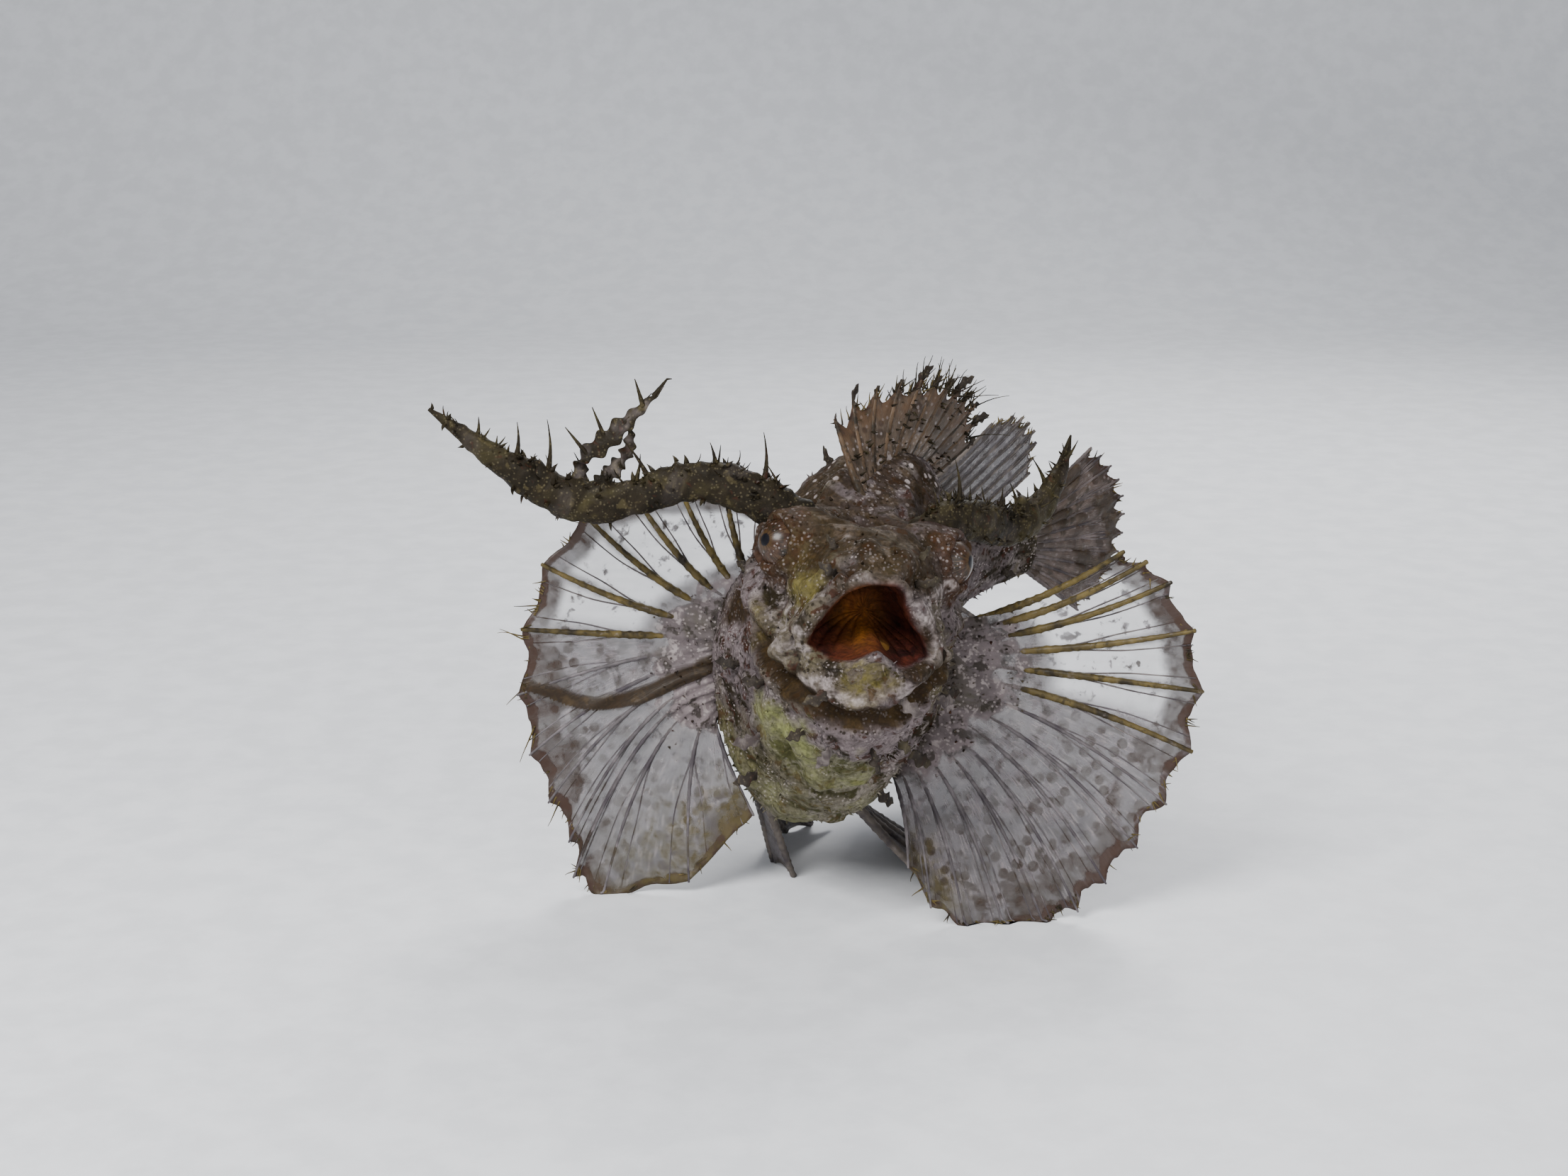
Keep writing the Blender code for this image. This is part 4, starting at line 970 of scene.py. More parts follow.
FINISHES = {  # membranes: tint, dark blotches, margin, least and most opaque, pale dots, gold
    "floor": (floor_finish,),
    "skin": (skin_finish,),
    "tentacle": (tentacle_finish,),
    "eye": (eye_finish,),
    "tongue": (tongue_finish,),
    "ray": (ray_finish,),
    "spine": (ray_finish, "dorsal spine", (0.060, 0.036, 0.018)),
    "pectoral": (membrane_finish, "pectoral membrane", ("membrane",), 0.75, 0.8, 0.62),
    "pelvic": (membrane_finish, "pelvic membrane", ("membrane", 0.6), 0.9, 0.4, 0.85, 1.0),
    "spiny": (
        membrane_finish, "dorsal membrane", (0.078, 0.054, 0.036), 0.75, 0.7, 0.96, 1.0, 0.8,
        (0.080, 0.044, 0.022),
    ),
    "soft": (membrane_finish, "soft fin membrane", ("membrane", 0.8), 0.7, 0.6, 0.7, 0.94, 0.7),
    "tail": (membrane_finish, "tail membrane", (0.078, 0.054, 0.044), 0.9, 0.8, 0.9, 1.0, 0.4),
}


@functools.cache
def look(name):
    """The finish of that name, made when it is first asked for."""
    maker, *values = FINISHES[name]
    return maker(*values)


# The skin of head, jaw, body and tail stalk


def column_angles(count):
    """Angles round the body, closer together over the eyes."""
    fine = np.linspace(0, 2 * math.pi, 3001)
    weight = 1 + 1.5 * (near(fine - math.radians(40), 0.42) + near(fine - math.radians(140), 0.42))
    total = np.concatenate([[0], np.cumsum((weight[1:] + weight[:-1]) / 2)])
    return np.interp(np.linspace(0, total[-1], count, endpoint=False), total, fine)


def skin_grid(turn):
    """Fish coordinates of the skin from the throat out over the lips and back to the tail.

    With them comes how far inside the mouth each is, from 0 to 1.
    """
    sections = throat_curve(np.linspace(0, 1, THROAT_RINGS))
    rings = [throat_point(turn, share, depth) for share, depth in sections]
    last, lip = rings[-1], lip_point(turn, 180)
    rings += [last * (1 - t) + lip * t for t in (0.25, 0.5, 0.75)]
    inner = [np.ones(len(turn))] * len(rings)
    lower = 85 * ease(-1.6 * np.sin(turn))
    for tilt in np.linspace(180, 0, LIP_RINGS):
        rings.append(lip_point(turn, tilt))
        inner.append(ease((tilt - 70 - lower) / 80))
    rings += [face_point(turn, share) for share in np.linspace(0, 1, FACE_RINGS)[1:-1] ** 1.15]
    places = np.concatenate([np.arange(17, 35, 0.42), np.arange(35.2, 60, 0.62), np.linspace(60.6, 118, 66)])
    rings += [fish(s, *skin(s, turn)) for s in places]
    inner += [np.zeros(len(turn))] * (len(rings) - len(inner))
    return np.array(rings), np.array(inner)


def shaped_eyes(points):
    """Raises the lids and sinks the skin behind each eyeball."""
    reach = math.sqrt(EYE_RADIUS**2 - LID_REACH**2) + 0.5 * LID_RADIUS
    for out in (-1, 1):
        centre, look_at = eye_frame(out)
        ahead = (points - centre) @ look_at
        flat = points - centre - ahead[..., None] * look_at
        radius = np.linalg.norm(flat, axis=-1)
        facing = ahead > -4.0
        wall = np.clip(1 - ((radius - reach) / LID_HALF_WIDTH) ** 2, 0, 1)
        slope = np.maximum(0, radius - reach) * 0.55 * (radius > reach)
        lid = LID_REACH + LID_HEIGHT * np.sqrt(wall) - slope
        turn = np.arctan2(flat[..., 2], flat @ unit(np.cross(look_at, (0, 0, 1.0))))
        lid = lid + 0.25 * np.sin(7 * turn + out)
        raised = np.maximum(ahead, ahead + (lid - ahead) * ease((SOCKET_REACH - radius) / LID_FADE))
        raised = np.maximum(raised, np.where(radius < reach + 1.1, lid, raised))
        raised = np.where(radius > reach - 1.1, raised, ahead)
        lidded = centre + flat + raised[..., None] * look_at
        points = np.where((facing & (radius < SOCKET_REACH))[..., None], lidded, points)
        sunk = centre + unit(points - centre) * (EYE_RADIUS - 0.7)
        points = np.where((facing & (radius < reach - 0.95))[..., None], sunk, points)
    return points


def skin_relief(points, places, inner, turn, fold, faces_front):
    """How far the skin rises over its plain sections, in millimetres.

    In order: warts and furrows, the jaw's seam, the chin's fold, the gill cover's edge, the upper jaw's
    plate, the ridges of cheek and nape, the creases under the mouth, and the folds of its lining.
    """
    s, side, height = np.moveaxis(places, -1, 0)
    outside, head = 1 - inner, ease((46 - s) / 14)
    bumps = sizes().bumps / MM
    rise = bumps * (0.9 + 0.6 * head) * rough(points, 5.5, 1, 2) + bumps * 0.55 * rough(points, 2.2, 2, 2)
    rise -= bumps * 1.1 * np.maximum(0, np.abs(rough(points, 7, 3)) * -6 + 0.9) * head
    profile = np.stack([s, height], -1)
    seam = away_from(profile, JAW_SEAM)
    rise += (-1.0 * near(seam, 0.8) + 0.5 * near(seam - 2.2, 1.3)) * (height < 57)
    above = ease((points[..., 2] - 46) / 4)
    rise += (-1.7 * near(fold, 1.3) + (0.4 + 0.9 * above) * near(fold - 3.0, 1.6)) * faces_front
    past = s - 36 - 7.5 * (1 - ((height - 43) / 24) ** 2)
    gill = (height > 17) & (height < 66)
    edge = np.where(past < 0, 1.1 * np.exp(past / 3.5), -0.9 * np.exp(-past / 1.6))
    rise += gill * edge * ease((66 - height) / 6)
    maxilla = away_from(profile, MAXILLA)
    rise += (1.5 * near(maxilla, 2.0) - 0.9 * near(maxilla - 3.2, 1.0)) * (np.abs(side) > 6) * outside
    rise += 1.2 * near(away_from(profile, CHEEK_RIDGE), 1.6) * (np.abs(side) > 9) * outside
    nape = away_from(np.stack([s, np.abs(side)], -1), NAPE_RIDGE)
    rise += 1.3 * near(nape, 1.5) * (height > 70) * (s > 28)
    rise += 0.35 * np.sin((s - 4) * 2.1 + 0.8 * np.sin(turn * 3)) * near(height - 46, 5) * (s < 16) * outside
    fingers = np.abs(np.sin(turn * 9)) ** 6
    inside = 0.3 * rough(points, 3, 4, 2) - 0.5 * fingers[None, :] * ease((s - 6) / 5)
    rise = np.where(outside < 0.5, inside, rise) * np.where(outside < 0.9, 0.6, 1.0)
    return rise * ease((118 - s) / 2)


def paint(marks, name, amount):
    """Lays more of a mark on the skin, where it is stronger than what is there."""
    marks[name] = np.maximum(marks[name], amount)


def skin_marks(points, places, inner, turn, fold, shown, near_root):
    """The painted marks of the skin, 0 to 1 at each point.

    In order: the patches of PAINT, the chin's fold with its cream edge, the crown, the saddle between the
    eyes, the cheek's band, the tentacles' roots, the lips, the throat, the inside of the mouth with its
    warm patch, the dots on the back, and where skin tags grow.
    """
    s, _, height = np.moveaxis(places, -1, 0)
    outside = 1 - inner
    x, y, z = np.moveaxis(points, -1, 0)
    front = np.stack([x, z], -1)
    marks = {name: np.zeros(inner.shape) for name in ("olive", "red", "dark", "pale", "throat")}
    for mark, at_x, at_z, wide, tall, strength in PAINT:
        spot = np.exp(-(((x - at_x) / wide) ** 2 + ((z - at_z) / tall) ** 2))
        paint(marks, mark, strength * ease((spot + 0.22 * rough(points, 3.5, 7, 2) - 0.28) * 3) * shown)
    ragged = 0.7 * rough(points, 3.0, 9, 2)
    # Painted shade: a dark crescent along the chin's fold, where shade falls under the lower jaw's rim
    paint(marks, "dark", ease((2.9 - fold + 0.6 * ragged) / 1.1) * shown)
    raised = away_from(front - np.array((0.0, 4.1)), CHIN_FOLD)
    cream = ease((1.3 - raised + 0.6 * ragged) / 0.8) * near(x - 14, 8)
    paint(marks, "pale", 0.8 * cream * shown)
    crown = ease((height - 64) / 5) * ease((66 - s) / 12) * ease((s - 2) / 4)
    clumps = ease((rough(points, 4, 15, 2) + 0.4 + 0.05 * ease((s - 34) / 8)) * 3.5)
    paint(marks, "dark", 0.85 * crown * clumps * outside)
    saddle = near(s - 27 + 1.5 * rough(points, 4, 16), 7)
    paint(marks, "dark", 0.9 * saddle * ease((height - 64) / 4) * outside)
    band = ease((2.5 - away_from(front, CHEEK_BAND) + ragged) / 1.2)
    paint(marks, "dark", band * ease((-8 - y) / 6) * outside)
    paint(marks, "dark", ease(near_root * 2.2 - 0.6) * 0.9)
    marks["pale"] *= outside
    off_lip = np.abs(np.arange(len(inner)) - LIP_MIDDLE_RING)
    lip = np.clip(1 - off_lip / 12, 0, 1)[:, None] * (inner < 1)
    # Painted highlight: the lips' own pale rim is painted strongest on the side that faces the light, the upper lip
    # towards the fish's left
    lit = 0.08 + 0.92 * ease((np.cos(turn - math.radians(48)) - 0.45) * 2.2)
    broken = ease((rough(points, 2.2, 12) + 0.3) * 3) * (inner < 0.6)
    paint(marks, "pale", lit * np.clip(lip * 1.6 - 0.6, 0, 1) * broken)
    paint(marks, "throat", 0.5 * ease((36 - height) / 16) * (s < 60) * outside)
    marks["inside"] = inner
    marks["glow"] = np.exp(-(((x - 12.8) / 3.7) ** 2 + ((z + 0.27 * (y + 50) - 64.2) / 4.6) ** 2))
    marks["dots"] = ease((height - 62) / 6) * ease((s - 34) / 8) * outside
    growth = 0.35 + 0.65 * ease((rough(points, 9, 5) + 0.15) * 3)
    for name, bare in (("inside", 1.0), ("pale", 0.7), ("olive", 0.6), ("dark", 0.95)):
        growth = growth * (1 - bare * marks[name])
    marks["growth"] = growth
    return marks


SKIN_COLUMNS, QUICK_SKIN_COLUMNS = 240, 150
EYE_RING, EYE_RING_FADE = 8.6, 2.2  # the reddish skin round each eye


def build_skin():
    """Make the one skin over head, jaw, body and tail stalk."""
    turn = column_angles(QUICK_SKIN_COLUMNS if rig.quick() else SKIN_COLUMNS)
    places, inner = skin_grid(turn)
    points = placed(places)
    normals = grid_normals(points, wrap=True)
    middle = placed(core(np.clip(places[..., 0], 8, 118)))
    normals *= np.sign(np.median(np.sum(normals * (points - middle), axis=-1)[80:]))
    faces_front = ease((-24 - points[..., 1]) / 6) * (inner < 0.5)
    fold = away_from(points[..., ::2], CHIN_FOLD)
    moved = points + normals * skin_relief(points, places, inner, turn, fold, faces_front)[..., None]
    near_root = np.zeros(inner.shape)
    for side_name, (first, second, *_) in BROW.items():
        root = np.array(second, float) if side_name == "right" else (np.array(first, float) + second) / 2
        distance = np.linalg.norm(moved - root, axis=-1)
        pull = near(distance, 4.6) * (1 - inner)
        moved = moved + (root - moved) * (0.30 * pull)[..., None]
        near_root = np.maximum(near_root, near(distance, 7.0))
    moved = shaped_eyes(moved)
    marks = skin_marks(points, places, inner, turn, fold, faces_front * (1 - inner), near_root)
    for out in (-1, 1):
        away = np.linalg.norm(moved - eye_frame(out)[0], axis=-1)
        marks["growth"] *= away > EYE_RADIUS + 0.9
        paint(marks, "red", 0.95 * ease((EYE_RING + 0.8 * rough(points, 3, 17) - away) / EYE_RING_FADE))
        marks["dark"] *= 1 - 0.8 * ease((EYE_RING - away) / EYE_RING_FADE)
    body = piece_from("skin_body", moved, ring_faces(*inner.shape), "skin", marks)
    finished(body, "skin", "head", "jaw", "trunk", "tail_stalk")


TAG_SIDES, TAG_FLATNESS, TAG_LEAN = 6, 0.55, 0.5
TAG_RINGS = (  # height, half width, bend
    (0, 0.34, 0), (0.3, 0.30, 0.02), (0.62, 0.20, 0.08), (0.9, 0.09, 0.2), (1.05, 0.02, 0.3),
)
TAG_JOBS = (  # surface, piece, slot, finish, density, least and most size, seed
    ("skin_body", "tags_body", "skin", "skin", None, 0.3, 1.05, 11),
    ("brow_right_skin", "tags_brow_right", "tentacle", "tentacle", 380000.0, 0.5, 1.9, 12),
    ("brow_left_skin", "tags_brow_left", "tentacle", "tentacle", 380000.0, 0.5, 1.8, 13),
    ("dorsal_spiny_web", "tags_dorsal", "membrane", "tentacle", 240000.0, 0.4, 1.4, 14),
    ("pectoral_right_web", "tags_pectoral_right", "membrane", "skin", 150000.0, 0.3, 0.9, 15),
    ("pectoral_left_web", "tags_pectoral_left", "membrane", "skin", 150000.0, 0.3, 0.9, 16),
)


def build_tags():
    """Scatter small tags of skin over the body, the tentacles and the fleshy parts of the fins."""
    rings = [
        (bend + size * math.cos(a), TAG_FLATNESS * size * math.sin(a), rise)
        for rise, size, bend in TAG_RINGS
        for a in turns(TAG_SIDES)
    ]
    mesh = bpy.data.meshes.new("tag")
    mesh.from_pydata((np.array(rings) * MM).tolist(), [], ring_faces(len(TAG_RINGS), TAG_SIDES))
    tag = linked("tag", mesh)
    tree = scatter_tree()
    for source, name, slot, finish, density, least, most, seed in TAG_JOBS:
        piece = linked(name, bpy.data.objects[source].data.copy())
        apply_tree(piece, tree, {
            "Density": density or sizes().tags, "Least size": least, "Most size": most, "Seed": seed,
            "Lean": TAG_LEAN, "Tag": tag, "Finish": look(finish),
        })
        finished(piece, slot)
    bpy.data.objects.remove(tag)


def build_eyes():
    """Make the two glossy eyeballs."""
    rings, sides = 48, 64
    tilt, turn = np.linspace(0.02, math.pi - 0.02, rings)[:, None], turns(sides)[None, :]
    bulge = EYE_RADIUS - 0.05 + 0.28 * near(tilt, 0.62)
    marks = {"off_axis": tilt + 0 * turn, "turn": np.abs(turn - math.pi) + 0 * tilt}
    tilt, turn = tilt[..., None], turn[..., None]
    for side_name, out in (("right", -1), ("left", 1)):
        centre, ahead = eye_frame(out)
        across = unit(np.cross(ahead, (0, 0, 1.0)))
        spoke = np.sin(tilt) * (np.cos(turn) * across + np.sin(turn) * np.cross(across, ahead))
        points = centre + bulge[..., None] * (spoke + np.cos(tilt) * ahead)
        ball = piece_from(f"eyeball_{side_name}", points, ring_faces(rings, sides), "eye", marks)
        finished(ball, "eye", f"eye_{side_name}")


def build_tongue():
    """Make the tongue, which lies low in the jaw."""
    rings, sides = 34, 40
    turn, t = turns(sides), shares(rings)
    size = np.sqrt(np.maximum(0.0, 1 - (2 * t - 1) ** 2)) ** 0.8
    wide, high = 4.4 * size * np.cos(turn) * (0.7 + 0.35 * t), 2.1 * size * np.sin(turn)
    points = placed(fish(7.2 + 9.3 * t, 0.8 + wide, 55.2 + 0.5 * t + high))
    points[..., 2] += 0.18 * rough(points, 1.6, 3, 2)
    deep = ease(np.linspace(-0.4, 1.3, rings))[:, None] * np.ones(sides)
    finished(piece_from("tongue", points, ring_faces(rings, sides), "tongue", {"deep": deep}), "skin")


# Brow tentacles, flaps and spines


def build_brows():
    """Make the two brow tentacles with their ragged upper edge, threads and leafy branch."""
    half = curve_through(BROW_HALF_DEPTH)
    chance = np.random.default_rng(14)
    for side_name, route in BROW.items():
        path = path_through(route)
        points, out, along = sweep_rings(path, half, BROW_FLATNESS, BROW_RINGS, BROW_SIDES)
        thin = np.clip(half(along) / 3.0, 0.12, 1)[:, None]
        upper = np.clip(np.sin(turns(BROW_SIDES)), 0, 1)[None, :] ** 2
        rise = 0.55 * rough(points, 4.5, 21, 2) + 0.25 * rough(points, 1.6, 22, 2)
        rise = rise + 1.5 * upper * np.maximum(0, rough(points * np.array([1, 0.4, 0.4]), 2.0, 23)) ** 1.2
        flare = 1.1 * np.exp(-along / 0.05)[:, None]
        points = points + out * (rise * thin + flare)[..., None]
        growth = (0.15 + 0.85 * upper) * np.clip(thin * 1.3, 0, 1) * ease((along - 0.06) / 0.05)[:, None]
        marks = {"light": 0.08 * ease((rough(points, 5, 24) - 0.2) * 4), "growth": growth}
        faces = ring_faces(BROW_RINGS, BROW_SIDES)
        piece = piece_from(f"brow_{side_name}_skin", points, faces, "tentacle", marks)
        finished(piece, "tentacle", *(f"brow_{side_name}_{part}" for part in ("root", "middle", "tip")))
        lines, halves = [], []
        for share, length, lean_x, lean_y in BROW_THREADS[side_name]:
            root = path(share) + np.array([0, 0, max(0.0, float(half(share)) - 1.2)])
            t = shares(18)
            sway = 0.06 * length * np.sin(t * 3.1) * np.array([1, 0.5, 0])
            lines.append(root + (length + 1.2) * np.array([lean_x, lean_y, 1.0]) * t + sway)
            halves.append(0.36 * (1 - t[:, 0]) + 0.42 * np.exp(-t[:, 0] / 0.25) + 0.05)
        for share in chance.uniform(0.08, 0.97, BROW_HAIRS):
            size = chance.uniform(1.2, 3.6) * (1 if share < 0.8 else 0.6)
            around = unit(np.array([chance.normal() * 0.55, chance.normal() * 0.6, 1.0]))
            t = shares(8)
            root = path(share) + around * np.array([1, BROW_FLATNESS, 1]) * max(0.0, float(half(share)) - 0.5)
            sway = 0.12 * size * np.sin(2.4 * t) * chance.normal(size=3)
            lines.append(root + around * (size + 0.5) * t + sway)
            halves.append(0.20 * (1 - t[:, 0]) + 0.05)
        if side_name == "right":
            branch, t = path_through(BRANCH["branch"]), shares(16)
            for start, length, lean in BRANCH_THREADS:
                lines.append(branch(start) + (length + 0.8) * t * np.array([lean, 0.1, 1.0]))
                halves.append(0.42 * (1 - t[:, 0]) + 0.08)
            for name, line in BRANCH.items():
                build_branch(name, path_through(line))
        swept_rays(f"brow_{side_name}_threads", "tentacle", lines, halves, "tentacle", 7, 0.1, 1.2)


def build_branch(name, path):
    """Makes one strand of the right tentacle's leafy side branch: a flat frilled blade."""
    rings, sides = 90, 28
    wide = curve_through(((0, 1.2), (0.25, 1.5), (0.5, 1.8), (0.75, 1.0), (1, 0.15)))
    points, out, along = sweep_rings(path, wide, 0.28, rings, sides, up=(0.55, 0.1, 0.8))
    edge = np.sin(turns(sides))[None, :]
    frill = 1 + 0.32 * np.sign(edge) * np.sin(along * 46)[:, None] * np.abs(edge) ** 3
    centre = path(along)[:, None]
    points = centre + (points - centre) * frill[..., None] + out * (0.25 * rough(points, 2, 31, 2))[..., None]
    marks = {"light": 0.25 * ease((rough(points, 2.6, 33, 2) + 0.1) * 2)}
    finished(piece_from(f"brow_right_{name}", points, ring_faces(rings, sides), "tentacle", marks), "tentacle")


def leaf(here, normal, back, length, half, seed):
    """Rings of one frilled leafy flap that leans back."""
    path = path_through([
        here - normal * 1.3, here + normal * length * 0.3, here + unit(normal + 0.7 * back) * length,
    ])
    wide = curve_through(((0, 0.7), (0.3, 0.85), (0.6, 1.05), (0.85, 0.7), (1, 0.08)))
    points, _, along = sweep_rings(path, lambda t: half * wide(t), 0.30, LEAF_RINGS, LEAF_SIDES)
    centre, edge = path(along)[:, None], np.sin(turns(LEAF_SIDES))[None, :]
    frill = 1 + 0.35 * np.abs(edge) ** 3 * np.sin(along[:, None] * 19 + seed + 2 * np.sign(edge))
    return centre + (points - centre) * frill[..., None]


def leaves_piece(name, slot, leaves, light):
    """Makes one piece of many flaps, each as light as its number says."""
    size = LEAF_RINGS * LEAF_SIDES
    faces = [face for k in range(len(leaves)) for face in ring_faces(LEAF_RINGS, LEAF_SIDES, k * size)]
    marks = {"light": np.repeat(light, size)}
    finished(piece_from(name, np.concatenate(leaves), faces, "tentacle", marks), slot)


def skin_places(rows):
    """Point, normal and way back for both sides of the body at each row's s and angle."""
    for i, (s, angle, *rest) in enumerate(rows):
        back = placed(fish(s + 1, 0, 60)) - placed(fish(s, 0, 60))
        for j, a in enumerate((math.radians(angle), math.pi - math.radians(angle))):
            yield i, j, *surface(s, a), back, *rest


def build_flaps():
    """Make the leafy flaps, and the small spines of cheek and nape."""
    leaves, light, lines, halves = [], [], [], []
    for i, j, here, normal, back, length, half in skin_places(FLAPS):
        leaves.append(leaf(here, normal, back, length, half * 0.95, i + 3 * j))
        light.append(0.1 + 0.35 * ((i * 7 + j * 3) % 5 == 0))
    leaves_piece("leafy_flaps", "tentacle", leaves, light)
    for _, _, here, normal, back, length in skin_places(SPINES):
        t = shares(10)
        lines.append(here - normal + (normal + 0.9 * back) / 1.35 * (length + 0.8) * t)
        halves.append(1 - t[:, 0] + 0.1)
    swept_rays("head_spines", "skin", lines, halves, "skin", 10, 0.05, 1.0)


# Fins


FIN_KINDS = {
    # Web: first row, rows, steps between rays, ripple, frill, extra half thickness of the fleshy root.
    # Rays: finish, half thickness at root and tip, first row, share of the rows over which they swell out
    # of the flesh, reach past the web, whether they fork, height and length of the knobs.
    "pectoral": ((0.05, 80, 14, 0.45, 0.018, 0.95), ("ray", 0.95, 0.34, 0.30, 0.22, 0.3, True, 0.22, 1.9)),
    "spiny": ((0.1, 44, 12, 0.3, 0.05, 0.4), ("spine", 0.9, 0.3, 0.06, 0.0, 0.0, False, 0.16, 1.5)),
    "soft": ((0.1, 44, 12, 0.3, 0.03, 0.0), ("ray", 0.55, 0.3, 0.06, 0.0, 0.0, True, 0.16, 1.5)),
    "tail": ((0.02, 60, 12, 0.4, 0.03, 0.0), ("spine", 0.7, 0.26, 0.0, 0.0, 0.3, True, 0.18, 1.7)),
    "pelvic": ((0.08, 50, 14, 0.3, 0.03, 0.0), ("ray", 1.0, 0.5, 0.05, 0.0, 0.3, True, 0.2, 1.8)),
}
RAY_RIDGE, BAND_RIDGE = 0.16, 0.45  # how far a web thickens at a ray and in the dark band
RAY_STEPS, TIP_STEPS, FORK_STEPS, RAY_SIDES = 46, 5, 24, 8
FORK_START, FORK_END, FORK_SPREAD, FORK_TONE = 0.45, 0.985, 0.22, 0.7
PECTORAL_HAIRS = (2.9, 5.6, 6.1, 6.2, 6.9, 7.6, 9.2)  # columns
DORSAL_HAIRS = ((5.2, 6.0, 0.35), (7.4, 8.0, 0.12), (9.0, 7.0, 0.3), (10.4, 8.5, 0.02))  # column, length, rise


def between(column):
    """0 on a ray and 1 midway between two."""
    return np.abs(np.sin(np.pi * np.asarray(column, float))) ** 1.1


def bowed(start, bend, tip, row):
    """Places along an arc from start to tip that is drawn towards bend."""
    row = np.asarray(row)[..., None]
    return (1 - row) ** 2 * start + 2 * row * (1 - row) * bend + row**2 * tip


def pectoral_middle(out, centre, lengths, depths):
    """A pectoral fan's middle sheet: places by column, counted in rays, and by row from root to margin."""
    outline, depth = curve_through(np.column_stack([shares(len(lengths)), lengths])), curve_through(depths)

    def middle(column, row):
        around = column / (PECTORAL_RAYS - 1)
        s, z = (top + (foot - top) * around for top, foot in zip(*PECTORAL_ROOT))
        start = placed(fish(s, out * (half_width(s) - ROOT_SINK), z))
        angle, length = np.moveaxis(outline(around), -1, 0)
        angle = np.radians(angle)
        length = length * (1 - 0.018 * between(column) * ease((row - 0.5) / 0.5))
        tip = fish(centre[0] + out * length * np.cos(angle), depth(around), centre[1] + length * np.sin(angle))
        span = np.linalg.norm(tip - start, axis=-1)
        bow = out * (0.18 + 0.27 * np.maximum(0.0, np.cos(angle))) * span
        bend = start + fish(bow, 0.5 * (tip[..., 1] - start[..., 1]), 0.0)
        return bowed(start, bend, tip, row) + fish(0.0, 0.65 * between(column) * row, 0.0)

    return middle


def median_middle(name):
    """The middle sheet of a fin on back or belly."""
    (first, last), count, lengths, leans, tilts, web, below = MEDIAN[name]
    length = curve_through(lengths)

    def middle(column, row):
        around = column / (count - 1)
        s = first + (last - first) * around
        reach = length(around) * (1 - (1 - web) * between(column)) + MEDIAN_SINK
        lean, tilt = (np.radians(a + (b - a) * around) for a, b in (leans, tilts))
        along = row * reach
        rise = along * np.cos(lean) * np.cos(tilt)
        height = bottom_line(s) + MEDIAN_SINK - rise if below else top_line(s) - MEDIAN_SINK + rise
        side = along * np.cos(lean) * np.sin(tilt) + 0.55 * between(column) * np.sin(np.pi * np.asarray(row))
        return placed(fish(s + along * np.sin(lean), side, height))

    return middle


def caudal_middle(column, row):
    """The tail fin's middle sheet."""
    around = column / (CAUDAL_RAYS - 1)
    root = core(BODY_LENGTH)[2] + CAUDAL_ROOT * (1 - 2 * around)
    spread = np.radians(CAUDAL_SPREAD[0] + (CAUDAL_SPREAD[1] - CAUDAL_SPREAD[0]) * around)
    reach = curve_through(CAUDAL_LENGTH)(around) * (1 - 0.05 * between(column))
    reach = reach * row + MEDIAN_SINK * (row - 1)
    side = 0.6 * between(column) * np.sin(np.pi * np.asarray(row))
    return placed(fish(BODY_LENGTH + reach * np.cos(spread), side, root + reach * np.sin(spread)))


def pelvic_middle(out, tips):
    """A pelvic fin's middle sheet."""
    count = len(tips)
    tip_at = curve_through(np.column_stack([np.arange(count), tips]))

    def middle(column, row):
        s = PELVIC_ROOT_S[0] + (PELVIC_ROOT_S[1] - PELVIC_ROOT_S[0]) * column / (count - 1)
        start = placed(fish(s, out * PELVIC_ROOT_SIDE, bottom_line(s) + PELVIC_ROOT_RISE))
        tip = start + (tip_at(column) - start) * (1 - 0.05 * between(column))[..., None]
        bend = start * 0.45 + tip * 0.55
        bend[..., 2] = 0.36 * start[..., 2]
        return bowed(start, bend, tip, row)

    return middle


